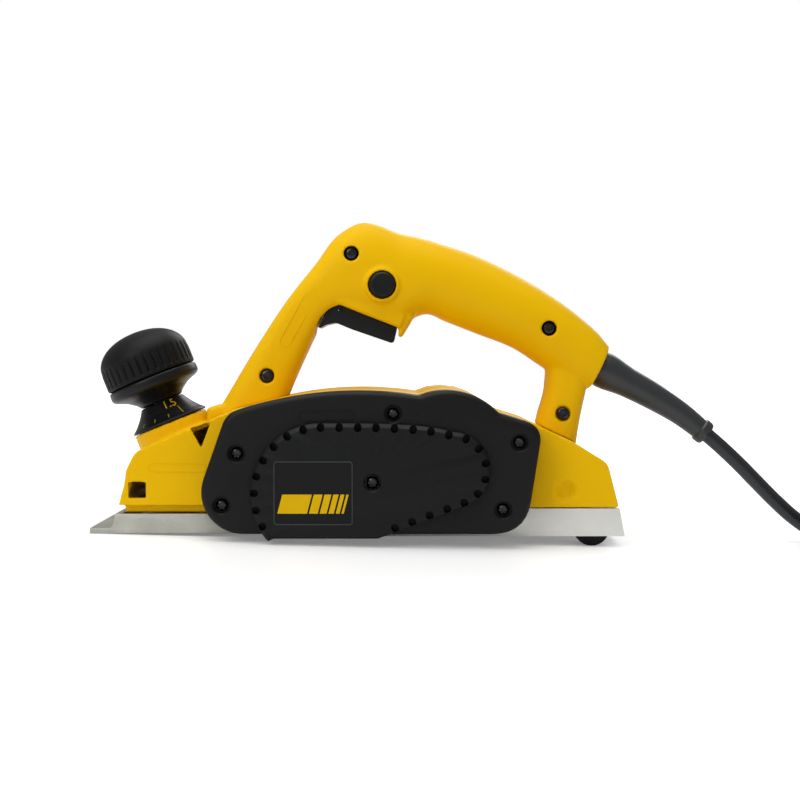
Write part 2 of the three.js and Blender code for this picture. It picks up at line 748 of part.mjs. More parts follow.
// ---------- drum, its blades and its pulley ----------
const bladeAngle = THREE.MathUtils.degToRad(200);
function aroundDrum(geometry, turn) {
  geometry.rotateY(-turn);
  geometry.translate(drum.x, 0, drum.z);
  return solid(geometry);
}
const drumLength = drum.right - drum.left - 0.4;
const drumMiddle = (drum.left + drum.right) / 2;
function alongDrum(width, height, length, x, z, turn) {
  return aroundDrum(new THREE.BoxGeometry(width, length, height).translate(x, drumMiddle, z), turn);
}
let drumBody = rodY(drum.x, drum.z, drum.core, drum.left + 0.2, drum.right - 0.2, fine);
drumBody = join(
  drumBody,
  rodY(drum.x, drum.z, bearing.bigBore - gap, pulleyY.left - 1.2, -30, small),
  rodY(drum.x, drum.z, 8, -40.6, -30, small),
  rodY(drum.x, drum.z, bearing.smallBore - gap, 30, 50.2, small),
);
const bladeTurns = [bladeAngle, bladeAngle + Math.PI];
for (const turn of bladeTurns) {
  drumBody = cut(
    drumBody,
    alongDrum(9.4, 12, drumLength + 4, -4.1, 22, turn),
    alongDrum(7, 9, drumLength + 4, 3.9, 26.5, turn),
  );
}
add("cutter_drum", drumBody, castAluminium);
bladeTurns.forEach((turn, i) => {
  add(`blade_${i + 1}`, alongDrum(1.2, 10.4, drumLength + 0.4, -0.3, 21.75, turn), carbide);
  const clampBar = alongDrum(6.6, 7, drumLength - 1, -4.6, 20.4, turn);
  const bolts = [-28, 0, 28].map((y) =>
    aroundDrum(
      new THREE.CylinderGeometry(2, 2, 3, 12)
        .rotateX(Math.PI / 2)
        .translate(-4.6, drumMiddle + y, 23),
      turn,
    ),
  );
  add(`blade_clamp_${i + 1}`, cut(clampBar, ...bolts), steel);
});

function pulley(x, z, r, bore) {
  const y0 = pulleyY.left;
  const y1 = pulleyY.right;
  const profile = [[bore, 0], [r + 1.4, 0], [r + 1.4, 0.8], [r, 0.8]];
  const grooves = 3;
  const pitch = (y1 - y0 - 1.6) / grooves;
  for (let i = 0; i < grooves; i++) {
    profile.push([r - 1.4, 0.8 + pitch * (i + 0.5)], [r, 0.8 + pitch * (i + 1)]);
  }
  profile.push([r + 1.4, y1 - y0 - 0.8], [r + 1.4, y1 - y0], [bore, y1 - y0], [bore, 0]);
  const g = new THREE.LatheGeometry(
    profile.map(([radius, h]) => new THREE.Vector2(radius, h)),
    usual,
  );
  return solid(g.translate(x, y0, z));
}
add("drum_pulley", pulley(drum.x, drum.z, drumPulleyR, bearing.bigBore), steel);
add("drum_bearing_left", tubeY(drum.x, drum.z, bearing.big, bearing.bigBore, -47.6, -41.3, small), steel);
add("drum_bearing_right", tubeY(drum.x, drum.z, bearing.small, bearing.smallBore, 44.5, 50.3, small), steel);

// ---------- drive belt ----------
const beltOuter = beltShape(
  drum.x, drum.z, drumPulleyR + gap + beltThick,
  motor.x, motor.z, motorPulleyR + gap + beltThick,
);
const beltInner = beltShape(drum.x, drum.z, drumPulleyR + gap, motor.x, motor.z, motorPulleyR + gap);
add(
  "drive_belt",
  cut(slabY(beltOuter, pulleyY.left + 1.1, pulleyY.right - 1.1, 9), slabY(beltInner, -65, -45, 9)),
  rubber,
);

// ---------- motor ----------
const armature = join(
  rodY(motor.x, motor.z, bearing.smallBore - gap, pulleyY.left - 1.2, 54, small),
  rodY(motor.x, motor.z, bearing.endBore - gap, 50, 60.4, small),
  rodY(motor.x, motor.z, 18.6, -18, 32, usual),
  rodY(motor.x, motor.z, 14.5, -23, 37, small),
);
add("armature", armature, steel);
add("commutator", tubeY(motor.x, motor.z, 11, bearing.smallBore, 37.5, 49.5, small), copper);
const statorTube = tubeY(motor.x, motor.z, 34.9, 19.6, -19, 29.6, fine);
add("stator", cut(statorTube, box(-5, 100, -30, 40, -2, 11)), steel);
function fan() {
  const blades = 9;
  const hub = join(
    tubeY(motor.x, motor.z, 8, bearing.smallBore, -36.5, -25, small),
    tubeY(motor.x, motor.z, 31, bearing.smallBore, -27, -25, usual),
  );
  return Array.from({ length: blades }, (_, i) => {
    const blade = new THREE.BoxGeometry(25, 9, 1.6).translate(18, -31.4, 0);
    return solid(blade.rotateY((2 * Math.PI * i) / blades).translate(motor.x, 0, motor.z));
  }).reduce((a, b) => a.add(b), hub);
}
add("cooling_fan", fan(), black);
add("motor_pulley", pulley(motor.x, motor.z, motorPulleyR, bearing.smallBore), steel);
add("motor_bearing_left", tubeY(motor.x, motor.z, bearing.small, bearing.smallBore, -46, -38.9, small), steel);
add("motor_bearing_right", tubeY(motor.x, motor.z, bearing.end, bearing.endBore, 55, 60, small), steel);

const brushY = 43.5;
for (const [side, name] of [
  [-1, "front"],
  [1, "rear"],
]) {
  const along = (from, to, half) => {
    const ends = [motor.x + side * from, motor.x + side * to].sort((a, b) => a - b);
    return box(...ends, brushY - half, brushY + half, motor.z - half, motor.z + half);
  };
  add(`brush_${name}`, along(11 + gap, 31, 3.2), blackSteel);
  add(`brush_holder_${name}`, cut(along(13.5, 33, 5), along(10, 40, 3.2 + gap)), copper);
}

function motorEndCover() {
  const disc = rodY(motor.x, motor.z, barrelRadius, barrelEnd + gap, 66, fine);
  const dome = rodY(motor.x, motor.z, 31, 65, 70, fine, 27);
  const seat = tubeY(motor.x, motor.z, 13, bearing.end + gap, 54.6, 68.5, usual);
  const tongue = tubeY(motor.x, motor.z, 35.1, 33, 58, 63, fine);
  const keep = box(0, 100, 50, 80, 18.3, 90);
  const hollow = rodY(motor.x, motor.z, 26, 61, 67.5, 36, small);
  let body = join(disc, dome, tongue.intersect(keep));
  body = join(cut(body, hollow), seat);
  for (const slot of [-16, -8, 0, 8, 16]) {
    const half = Math.sqrt(24 ** 2 - slot ** 2);
    const opening = box(motor.x - half, motor.x + half, 60, 80, motor.z + slot - 1.8, motor.z + slot + 1.8);
    body = cut(body, cut(opening, rodY(motor.x, motor.z, 13, 50, 66.2, usual)));
  }
  return cut(body, box(0, 100, 50, 80, -10, 14.6));
}
add("motor_end_cover", motorEndCover(), black);

// ---------- chip chute: a hood over the drum and a spout to the right ----------
function chipChute() {
  const spout = cut(
    rodY(chute.x, chute.z, chute.r, -31, chute.end, usual),
    rodY(chute.x, chute.z, chute.r - chute.wall, -29, chute.end + 5, usual),
  );
  const hood = cut(
    tubeY(drum.x, drum.z, 32.2, 30.2, -39.6, 37.4, fine),
    box(-80, 40, -60, 60, -10, 31),
    rodY(chute.x, chute.z, chute.r - chute.wall, -29, chute.end, usual),
  );
  const mouth = rodY(drum.x, drum.z, 30.2, -29, 36, fine);
  const gate = slabY(
    polygon([
      [-21, 27],
      [-62, 45],
      [-46, 70],
    ]),
    -29,
    34,
  );
  const lip = tubeY(chute.x, chute.z, chute.r + 1.6, chute.r - 1, 60, chute.end, usual);
  return cut(join(spout, hood, lip), mouth, gate.intersect(rodY(drum.x, drum.z, 44, -29, 34, usual)));
}
add("chip_chute", chipChute(), black);

// ---------- depth knob ----------
const dome = Array.from({ length: 7 }, (_, i) => {
  const t = (Math.PI / 2) * (i / 6);
  return [25.4 * Math.cos(t), 39.3 + 15.4 * Math.sin(t)];
});
add(
  "depth_dial",
  turned([
    [5.2, 0],
    [21.7, 0],
    [21.7, 1.2],
    [17.4, 3.6],
    [14.4, 7],
    [12.9, 10.4],
    [12.3, 12.4],
    [5.2, 12.4],
    [5.2, 0],
  ]),
  black,
);
add(
  "knob_body",
  turned([
    [5.2, 12.7],
    [12, 12.7],
    [13.4, 14.8],
    [18, 18.2],
    [24.6, 20.8],
    [26, 22.4],
    [25.8, 27],
    [22.5, 27.2],
    [22.5, 38.6],
    [5.2, 38.6],
    [5.2, 12.7],
  ]),
  black,
);
add(
  "knob_grip_ring",
  turned([
    [22.8, 27.6],
    [26.5, 27.6],
    [26.5, 37.4],
    [25.6, 38.9],
    [22.8, 38.9],
    [22.8, 27.6],
  ]),
  rubber,
);
add("knob_cap", turned([[0, 39.3], ...dome.slice(0, -1), [0, 54.7]]), black);
add(
  "adjusting_screw",
  join(knobRod(4.9, -6, 38.2, small), knobRod(8, -2.2, -gap, small).intersect(knobRod(5, -3, 0)), knobRod(4, -50, -5, small)),
  steel,
);

// The spring that takes up play between the housing and the shoe's stem.
function springTube() {
  const turns = 3;
  const low = shoeStem.top + 2.2;
  const high = -16.2;
  const path = new THREE.CatmullRomCurve3(
    Array.from({ length: turns * 10 + 1 }, (_, i) => {
      const t = (2 * Math.PI * i) / 10;
      return new THREE.Vector3(6.6 * Math.cos(t), low + ((high - low) * i) / (turns * 10), 6.6 * Math.sin(t));
    }),
  );
  const wire = new THREE.Shape();
  wire.absarc(0, 0, 0.8, 0, 2 * Math.PI, false);
  const g = new THREE.ExtrudeGeometry(wire, { steps: turns * 10, extrudePath: path, curveSegments: 3 });
  g.applyQuaternion(upKnob);
  g.translate(knobFoot.x, knobFoot.y, knobFoot.z);
  return solid(g);
}
add("shoe_spring", springTube(), steel);

// ---------- trigger, switch and lock button ----------
const triggerShape = new THREE.Shape();
triggerShape.moveTo(-22.9, 113.2);
triggerShape.lineTo(-17, 124.5);
triggerShape.quadraticCurveTo(-14, 130, -8, 129);
triggerShape.lineTo(18, 121);
triggerShape.lineTo(21.4, 113.4);
triggerShape.lineTo(18.9, 105.6);
triggerShape.quadraticCurveTo(18, 104, 16.4, 104.6);
triggerShape.lineTo(-11.5, 115.4);
triggerShape.quadraticCurveTo(-16, 117, -19.8, 113);
triggerShape.closePath();
add(
  "trigger",
  cut(slabY(triggerShape, -triggerHalf, triggerHalf, 5), rodY(...triggerPivot, 1.6 + gap, -20, 20, tiny)),
  black,
);
add("trigger_pin", rodY(...triggerPivot, 1.6, -12.5, 12.5, small), steel);
add("switch_body", box(3, 33, switchSide.left, switchSide.right, 130, 150), black);
add(
  "lock_button",
  join(
    rodY(lockButton.x, lockButton.z, lockButton.r, lockButton.face, -12, usual),
    rodY(lockButton.x, lockButton.z, 4, -13, -9.4, small),
  ),
  black,
);

// ---------- parking foot ----------
function parkingFoot() {
  const pad = rodY(foot.x, foot.z, foot.r, foot.left, foot.right, fine).intersect(
    box(100, 150, -50, 0, -20, 0.6),
  );
  const arm = slabY(
    polygon([
      [foot.x - 4.5, -1],
      [foot.x + 5.5, -1],
      [foot.pivotX + 4.5, foot.pivotZ + 1],
      [foot.pivotX - 4.5, foot.pivotZ + 1],
    ]),
    foot.left,
    foot.right,
  );
  const eye = rodY(foot.pivotX, foot.pivotZ, 4.5, foot.left, foot.right, small);
  return cut(join(pad, arm, eye), rodY(foot.pivotX, foot.pivotZ, foot.pin + gap, -50, 0, small));
}
add("parking_foot", parkingFoot(), rubber);
add("foot_pin", rodY(foot.pivotX, foot.pivotZ, foot.pin, -41.3, foot.right + 4.3, small), steel);

// ---------- standing the tool up ----------
const noseToFoot = { x: foot.x - noseX, z: foot.z - cutDepth };
const lean =
  Math.asin(foot.r / Math.hypot(noseToFoot.x, noseToFoot.z)) - Math.atan2(noseToFoot.z, noseToFoot.x);
tool.rotation.y = -lean;
tool.position.z = -(noseX * Math.sin(lean) + cutDepth * Math.cos(lean));
tool.updateMatrixWorld(true);
const ownBox = new THREE.Box3(); // of the tool alone, without the protector that goes with the cord
for (const piece of tool.children) {
  if (piece.name !== "cord_protector") ownBox.expandByObject(piece, true);
}
tool.position.x = -(ownBox.min.x + ownBox.max.x) / 2;

// ---------- cord: down to the floor, a coil beside the tool, and its plug ----------
const planer = new THREE.Group();
planer.add(tool);
const cordPoints = [
  [199.3, 0, 60.2],
  [207.1, 0, 53.8],
  [218.1, 0, 44],
  [229.1, 0, 33.4],
  [240.1, 0, 23],
  [251.1, 0, 13.8],
  [261.1, 0, 7.6],
  [270.6, 0, 4.9],
  [280.5, 0, 4.3],
].map((p) => new THREE.Vector3(...p));
const coil = { x: 312.1, y: -55.1, outer: 59.6, inner: 33.2, height: 26.2 };

const cordSection = new THREE.Shape();
cordSection.absarc(0, 0, cordR, 0, 2 * Math.PI, false);
const cordLead = new THREE.ExtrudeGeometry(cordSection, {
  steps: 16,
  extrudePath: new THREE.CatmullRomCurve3(cordPoints),
  curveSegments: 5,
});
add("cord_lead", solid(cordLead), rubber, planer);

const coilProfile = [
  [coil.inner, 2],
  [coil.inner + 3, 0],
  [coil.outer - 3, 0],
  [coil.outer, 2],
  [coil.outer, coil.height - 3],
  [coil.outer - 3, coil.height],
  [coil.inner + 3, coil.height],
  [coil.inner, coil.height - 3],
  [coil.inner, 2],
];
const coilRing = new THREE.LatheGeometry(
  coilProfile.map(([r, h]) => new THREE.Vector2(r, h)),
  fine,
);
add("cord_coil", solid(coilRing.rotateX(Math.PI / 2).translate(coil.x, coil.y, 0)), rubber, planer);

const plug = { x: 345.1, y: -24, z: coil.height + gap + 12.5, length: 44, width: 34, height: 25 };
const plugBody = new THREE.BoxGeometry(plug.length, plug.width, plug.height).translate(plug.x, plug.y, plug.z);
const plugNeck = new THREE.CylinderGeometry(5, 8, 22, 16)
  .rotateZ(Math.PI / 2)
  .translate(plug.x - plug.length / 2 - 10, plug.y, plug.z);
add("plug", join(solid(plugBody), solid(plugNeck)), rubber, planer);
for (const [side, name] of [
  [-1, "left"],
  [1, "right"],
]) {
  const pin = new THREE.CylinderGeometry(2.4, 2.4, 19, 16)
    .rotateZ(Math.PI / 2)
    .translate(plug.x + plug.length / 2 + gap + 9.5, plug.y + side * 9.5, plug.z);
  add(`plug_pin_${name}`, solid(pin), steel, planer);
}

export default planer;
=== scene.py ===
import math
import json
import bpy
import bmesh
import numpy as np
from mathutils import Matrix, Vector


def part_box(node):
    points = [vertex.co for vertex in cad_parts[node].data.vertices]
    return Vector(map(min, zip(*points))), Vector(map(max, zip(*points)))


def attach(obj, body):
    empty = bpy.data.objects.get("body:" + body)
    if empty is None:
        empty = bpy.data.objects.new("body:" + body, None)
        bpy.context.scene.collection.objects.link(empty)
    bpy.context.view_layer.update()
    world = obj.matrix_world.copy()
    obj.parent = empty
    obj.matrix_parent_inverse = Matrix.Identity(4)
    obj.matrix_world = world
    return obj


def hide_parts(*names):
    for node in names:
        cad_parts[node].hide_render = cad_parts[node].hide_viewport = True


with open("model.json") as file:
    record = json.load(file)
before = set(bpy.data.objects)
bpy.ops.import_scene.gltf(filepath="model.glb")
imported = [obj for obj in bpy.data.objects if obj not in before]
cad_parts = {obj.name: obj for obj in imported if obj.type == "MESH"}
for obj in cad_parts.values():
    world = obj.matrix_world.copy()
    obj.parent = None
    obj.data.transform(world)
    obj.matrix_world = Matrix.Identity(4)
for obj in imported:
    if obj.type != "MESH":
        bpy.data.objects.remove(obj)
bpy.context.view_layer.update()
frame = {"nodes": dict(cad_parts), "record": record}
scene = bpy.context.scene
nodes = frame["nodes"]
print("frame loaded:", len(nodes), "nodes")

# The tool stands with its nose a little low. Pieces are drawn in the tool's own millimetres,
# sole level, then turned by that lean about Y and moved to where the rear sole stands.
sole = next(m for m in frame["record"]["mounts"] if m["name"] == "rear_sole")
leanSin, leanCos = sole["axis"][0], -sole["axis"][2]
soleAt = 0.040
standMatrix = Matrix((
    (leanCos, 0, -leanSin, sole["pos_m"][0] - soleAt * leanCos),
    (0, 1, 0, 0),
    (leanSin, 0, leanCos, sole["pos_m"][2] - soleAt * leanSin),
    (0, 0, 0, 1))) @ Matrix.Diagonal((0.001, 0.001, 0.001, 1))
levelMatrix = standMatrix.inverted()  # frame metres back to tool millimetres
millimetres = Matrix.Diagonal((0.001, 0.001, 0.001, 1))


def placed(name, data):
    # an object for the data, put into the scene
    made = bpy.data.objects.new(name, data)
    scene.collection.objects.link(made)
    return made


view = {"eye": (23.2, -800, 100.3), "pitch": 2.0, "lens": 63.09, "sensor": 36}


def makeCamera():
    data = bpy.data.cameras.new("camera")
    data.lens, data.sensor_width = view["lens"], view["sensor"]
    data.clip_start, data.clip_end = 0.05, 50
    camera = placed("camera", data)
    down = math.radians(view["pitch"])
    level = Matrix((
        (1, 0, 0, view["eye"][0]),
        (0, math.sin(down), -math.cos(down), view["eye"][1]),
        (0, math.cos(down), math.sin(down), view["eye"][2]),
        (0, 0, 0, 1)))
    stood = standMatrix @ level
    camera.matrix_world = Matrix.Translation(stood.translation) @ \
        stood.to_3x3().normalized().to_4x4()
    scene.camera = camera


makeCamera()
scene.view_settings.view_transform = "Standard"


def travelled(points):
    # the distance along a row of points, from the first to each
    return np.r_[0, np.cumsum(np.linalg.norm(np.diff(points, axis=0), axis=1))]


def apart(line, least):
    # the line without the points that crowd the one before
    return line[np.r_[True, np.linalg.norm(np.diff(line, axis=0), axis=1) > least]]


def smoothThrough(table, count):
    # cubic pieces by distance along the row of stations, with the slope at each station
    # that of the parabola through its neighbours
    table = np.asarray(table, float)
    at = travelled(table[:, :2])
    slope = np.gradient(table, at, axis=0)
    want = np.linspace(0, at[-1], count)
    i = np.clip(np.searchsorted(at, want, side="right") - 1, 0, len(at) - 2)
    gap = (at[i + 1] - at[i])[:, None]
    u = (want[:, None] - at[i][:, None]) / gap
    return ((1 + 2 * u) * (1 - u) ** 2 * table[i] + u * (1 - u) ** 2 * gap * slope[i]
            + u * u * (3 - 2 * u) * table[i + 1] + u * u * (u - 1) * gap * slope[i + 1])


def rounded(corners, count=8):
    # each corner (x, z, radius) becomes an arc of its radius that touches both sides
    pts = np.array([c[:2] for c in corners], float)
    line = []
    for i, (x, z, r) in enumerate(corners):
        a, b = pts[i - 1] - pts[i], pts[(i + 1) % len(pts)] - pts[i]
        a, b = a / np.linalg.norm(a), b / np.linalg.norm(b)
        half = 0.5 * math.acos(np.clip(a @ b, -1, 1))
        if r <= 0 or half > 1.55:
            line.append(pts[i][None])
            continue
        middle = pts[i] + (a + b) / np.linalg.norm(a + b) * r / math.sin(half)
        start = pts[i] + a * r / math.tan(half) - middle
        end = pts[i] + b * r / math.tan(half) - middle
        first = math.atan2(start[1], start[0])
        sweep = (math.atan2(end[1], end[0]) - first + math.pi) % (2 * math.pi) - math.pi
        t = first + sweep * np.linspace(0, 1, count)
        line.append(middle + r * np.column_stack([np.cos(t), np.sin(t)]))
    return np.vstack(line)


def areaOf(line):
    # half the sum of the cross products of neighbouring points, positive when anticlockwise
    ahead = np.roll(line, -1, 0)
    return 0.5 * np.sum(line[:, 0] * ahead[:, 1] - ahead[:, 0] * line[:, 1])


def insetBy(line, depth):
    # each point moves in along the mean of its two sides' normals, further at a sharp corner
    side = np.roll(line, -1, 0) - line
    side = side / np.maximum(np.linalg.norm(side, axis=1), 1e-9)[:, None]
    normal = np.column_stack([-side[:, 1], side[:, 0]]) * np.sign(areaOf(line))
    before = np.roll(normal, 1, 0)
    reach = 1 + np.sum(normal * before, 1)
    return line + depth * (normal + before) / np.maximum(reach, 0.35)[:, None]


def resample(line, spacing):
    # points at an even distance along the closed line
    closed = np.vstack([line, line[:1]])
    at = travelled(closed)
    want = np.linspace(0, at[-1], max(8, int(at[-1] / spacing)), endpoint=False)
    return np.column_stack([np.interp(want, at, closed[:, k]) for k in range(line.shape[1])])


def skinned(rings, wrap=False):
    # neighbouring rings are joined by quads; the first and last are closed by a face
    rings = np.asarray(rings, float)
    count, around = rings.shape[:2]
    index = np.arange(count * around).reshape(count, around)
    a, b = (index, np.roll(index, -1, 0)) if wrap else (index[:-1], index[1:])
    quads = np.stack([a, np.roll(a, -1, 1), np.roll(b, -1, 1), b], -1).reshape(-1, 4)
    caps = [] if wrap else [index[0][::-1].tolist(), index[-1].tolist()]
    return rings.reshape(-1, 3), quads.tolist() + caps


def slab(line, steps, wrap=False):
    # the outline in x and z is drawn at each step's y, moved in by that step's inset; wrapped,
    # the last ring joins the first and leaves a raised line
    rings = []
    for y, depth in steps:
        p = insetBy(line, depth)
        rings.append(np.column_stack([p[:, 0], np.full(len(p), y), p[:, 1]]))
    return skinned(rings, wrap)


def straightSlab(line, near, far):
    # the outline carried straight across, with square edges
    return slab(np.asarray(line, float), [(near, 0), (far, 0)])


def roundedSteps(near, far, rNear, rFar=0.0, count=5):
    # a quarter circle from the face to the side at each end
    t = np.linspace(0, math.pi / 2, count)
    way = math.copysign(1, far - near)
    first = [(near + way * rNear * (1 - math.cos(a)), rNear * (1 - math.sin(a))) for a in t] \
        if rNear else [(near, 0)]
    last = [(far - way * rFar * (1 - math.cos(a)), rFar * (1 - math.sin(a))) for a in t[::-1]] \
        if rFar else [(far, 0)]
    return first + last


def turned(profile, base=(0, 0, 0), axis=(0, 0, 1), around=64, ribs=None):
    # radius and height rows swept round the axis; ribs changes the radius by angle and row
    profile = np.asarray(profile, float)
    axis = np.asarray(axis, float) / np.linalg.norm(axis)
    across = np.cross((0, 1, 0) if abs(axis[1]) < 0.9 else (1, 0, 0), axis)
    across = across / np.linalg.norm(across)
    other = np.cross(axis, across)
    t = np.linspace(0, 2 * math.pi, around, endpoint=False)
    radius = np.repeat(profile[:, :1], around, 1)
    if ribs is not None:
        radius = ribs(radius, profile[:, 1:2], t[None])
    spoke = np.cos(t)[None, :, None] * across + np.sin(t)[None, :, None] * other
    rings = np.asarray(base, float) + profile[:, 1][:, None, None] * axis + radius[..., None] * spoke
    return skinned(rings)


def bore(radius, start, end, base, axis=(0, 1, 0), around=64):
    # a plain round cutter between two distances along its axis
    return turned([(0.5, start), (radius, start), (radius, end), (0.5, end)], base, axis, around)


def alongPath(path, radii, around=32):
    # circles square to a path that lies in the plane y = constant
    path, radii = np.asarray(path, float), np.asarray(radii, float)
    way = np.gradient(path, axis=0)
    way = way / np.linalg.norm(way, axis=1)[:, None]
    up = np.cross(way, (0, 1, 0))
    t = np.linspace(0, 2 * math.pi, around, endpoint=False)
    rings = path[:, None] + radii[:, None, None] * (
        np.cos(t)[None, :, None] * up[:, None] + np.sin(t)[None, :, None] * np.array((0, 1, 0)))
    return skinned(rings)


def lofted(stations, around=48, count=90):
    # a station's outer and inner point give its height and middle; its width and squareness
    # give a superellipse |c|^(2/n), |s|^(2/n)
    rows = smoothThrough(stations, count)
    t = np.linspace(0, 2 * math.pi, around, endpoint=False)[None]
    power = 2 / rows[:, 5:6]
    c = np.sign(np.cos(t)) * np.abs(np.cos(t)) ** power
    s = np.sign(np.sin(t)) * np.abs(np.sin(t)) ** power
    mid, half = (rows[:, 0:2] + rows[:, 2:4]) / 2, (rows[:, 0:2] - rows[:, 2:4]) / 2
    return skinned(np.stack([mid[:, :1] + half[:, :1] * c, rows[:, 4:5] * s,
                             mid[:, 1:] + half[:, 1:] * c], -1))


def draft(name, *shapes):
    # closed shapes in millimetres become one mesh, its faces turned outwards
    points, faces, start = [], [], 0
    for p, f in shapes:
        points.append(np.asarray(p, float))
        faces += [[i + start for i in face] for face in f]
        start += len(p)
    mesh = bpy.data.meshes.new(name)
    mesh.from_pydata(np.vstack(points).tolist(), [], faces)
    piece = placed(name, mesh)
    outward(piece)
    return piece


def outward(piece, merge=0.0):
    # vertices closer than merge become one, and every face turns outwards
    work = bmesh.new()
    work.from_mesh(piece.data)
    if merge:
        bmesh.ops.remove_doubles(work, verts=work.verts, dist=merge)
    bmesh.ops.recalc_face_normals(work, faces=work.faces)
    work.to_mesh(piece.data)
    work.free()


def bake(piece):
    # the modifiers' result becomes the piece's own mesh
    seen = piece.evaluated_get(bpy.context.evaluated_depsgraph_get())
    made = bpy.data.meshes.new_from_object(seen)
    piece.modifiers.clear()
    old, piece.data = piece.data, made
    bpy.data.meshes.remove(old)
    made.name = piece.name
    return piece


def combine(piece, how, *others):
    # closed meshes joined to the piece or cut out of it, and then deleted
    for other in others:
        step = piece.modifiers.new(how, "BOOLEAN")
        step.operation, step.object, step.solver = how, other, "MANIFOLD"
    bake(piece)
    for other in set(others):
        bpy.data.objects.remove(other)


def soften(piece, voxel, smooth, keep):
    # even small faces, then every edge eased and flat areas thinned out
    step = piece.modifiers.new("even", "REMESH")
    step.mode, step.voxel_size, step.use_smooth_shade = "VOXEL", voxel, True
    ease = piece.modifiers.new("ease", "SMOOTH")
    ease.factor, ease.iterations = 0.5, smooth
    piece.modifiers.new("thin", "DECIMATE").ratio = keep
    bake(piece)


def copyOf(source):
    # a CAD node as a new mesh in tool millimetres, its loose triangles merged
    piece = placed(source + "_finished", nodes[source].data.copy())
    piece.data.name = piece.name
    piece.data.transform(levelMatrix)
    outward(piece, merge=0.002)
    return piece


def eased(piece, width):
    # flat areas joined into whole faces, then each edge sharper than 28 degrees rounded
    work = bmesh.new()
    work.from_mesh(piece.data)
    bmesh.ops.dissolve_limit(work, angle_limit=math.radians(0.6), verts=work.verts, edges=work.edges)
    work.to_mesh(piece.data)
    work.free()
    step = piece.modifiers.new("eased edges", "BEVEL")
    step.width, step.segments, step.limit_method = width, 2, "ANGLE"
    step.angle_limit, step.use_clamp_overlap, step.harden_normals = math.radians(28), True, False
    return bake(piece)


def settle(piece, body, material, replaced=(), sharp=32, place=standMatrix):
    # the mesh goes to its place in the frame, gets its finish, and rides on its body
    piece.data.transform(place)
    piece.data.materials.clear()
    piece.data.materials.append(material)
    piece.data.shade_smooth()
    piece.data.set_sharp_from_angle(angle=math.radians(sharp))
    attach(piece, body)
    if replaced:
        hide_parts(*replaced)
    return piece


def linear(colour):
    # each sRGB byte to linear light, a straight line at the dark end and a 2.4 power above it
    c = np.array([int(colour[i:i + 2], 16) for i in (1, 3, 5)]) / 255
    return (*np.where(c <= 0.04045, c / 12.92, ((c + 0.055) / 1.055) ** 2.4), 1.0)


def node(tree, kind, links=None, **settings):
    made = tree.nodes.new(kind)
    for key, value in settings.items():
        setattr(made, key, value)
    for socket, value in (links or {}).items():
        if isinstance(value, bpy.types.NodeSocket):
            tree.links.new(value, made.inputs[socket])
        else:
            made.inputs[socket].default_value = value
    return made


def opened(name):
    # an empty material, its node tree and the Object coordinates in it
    material = bpy.data.materials.new(name)
    material.use_nodes = True
    tree = material.node_tree
    tree.nodes.clear()
    return material, tree, node(tree, "ShaderNodeTexCoord").outputs["Object"]


def moulded(name, colour, shade, rough, grain, depth, **shader):
    # a plastic or rubber skin: spark-eroded grain as bump, and slow drifts of colour and gloss
    material, tree, place = opened(name)
    grainNoise = node(tree, "ShaderNodeTexNoise", {"Vector": place, "Scale": 1000 / grain,
                                                   "Detail": 2.0, "Roughness": 0.55})
    drift = node(tree, "ShaderNodeTexNoise", {"Vector": place, "Scale": 1000 / 42,
                                              "Detail": 3.0, "Roughness": 0.5})
    gloss = node(tree, "ShaderNodeMapRange", {"Value": drift.outputs[0], 1: 0.3, 2: 0.7,
                                              3: rough - 0.05, 4: rough + 0.06})
    tint = node(tree, "ShaderNodeMix", {0: drift.outputs[0], 6: linear(colour),
                                        7: linear(shade)}, data_type="RGBA")
    bump = node(tree, "ShaderNodeBump", {"Height": grainNoise.outputs[0], "Distance": depth / 1000,
                                         "Strength": 1.0})
    surface = node(tree, "ShaderNodeBsdfPrincipled", {
        "Base Color": tint.outputs[2], "Roughness": gloss.outputs[0],
        "Normal": bump.outputs[0], **shader})
    node(tree, "ShaderNodeOutputMaterial", {"Surface": surface.outputs[0]})
    return material


def metal(name, colour, shade, rough, grain, depth, stretch=(1, 1, 1), **shader):
    # bare metal: grain or tool marks as bump, with the marks drawn out along the long side
    material, tree, place = opened(name)
    drawn = node(tree, "ShaderNodeMapping", {"Vector": place, "Scale": stretch})
    marks = node(tree, "ShaderNodeTexNoise", {"Vector": drawn.outputs[0], "Scale": 1000 / grain,
                                              "Detail": 4.0, "Roughness": 0.6})
    cloud = node(tree, "ShaderNodeTexNoise", {"Vector": place, "Scale": 1000 / 18,
                                              "Detail": 4.0, "Roughness": 0.6})
    tint = node(tree, "ShaderNodeMix", {0: cloud.outputs[0], 6: linear(colour),
                                        7: linear(shade)}, data_type="RGBA")
    gloss = node(tree, "ShaderNodeMapRange", {"Value": marks.outputs[0], 1: 0.3, 2: 0.7,
                                              3: rough - 0.08, 4: rough + 0.1})
    bump = node(tree, "ShaderNodeBump", {"Height": marks.outputs[0], "Distance": depth / 1000,
                                         "Strength": 1.0})
    surface = node(tree, "ShaderNodeBsdfPrincipled", {
        "Base Color": tint.outputs[2], "Roughness": gloss.outputs[0], "Metallic": 1.0,
        "Normal": bump.outputs[0], **shader})
    node(tree, "ShaderNodeOutputMaterial", {"Surface": surface.outputs[0]})
    return material


# glass-filled nylon dyed yellow, moulded in a finely eroded tool: a deep colour with a soft sheen
yellowNylon = moulded("moulded yellow glass-filled nylon", "#F0BE00", "#E7B300", 0.42, 0.9, 0.04,
                      **{"Specular IOR Level": 0.08})
# the same nylon in black, from a coarser tool: charcoal, with a broad grey sheen
blackNylon = moulded("moulded black glass-filled nylon", "#111213", "#0C0D0E", 0.44, 1.1, 0.08,
                     **{"Specular IOR Level": 0.2})
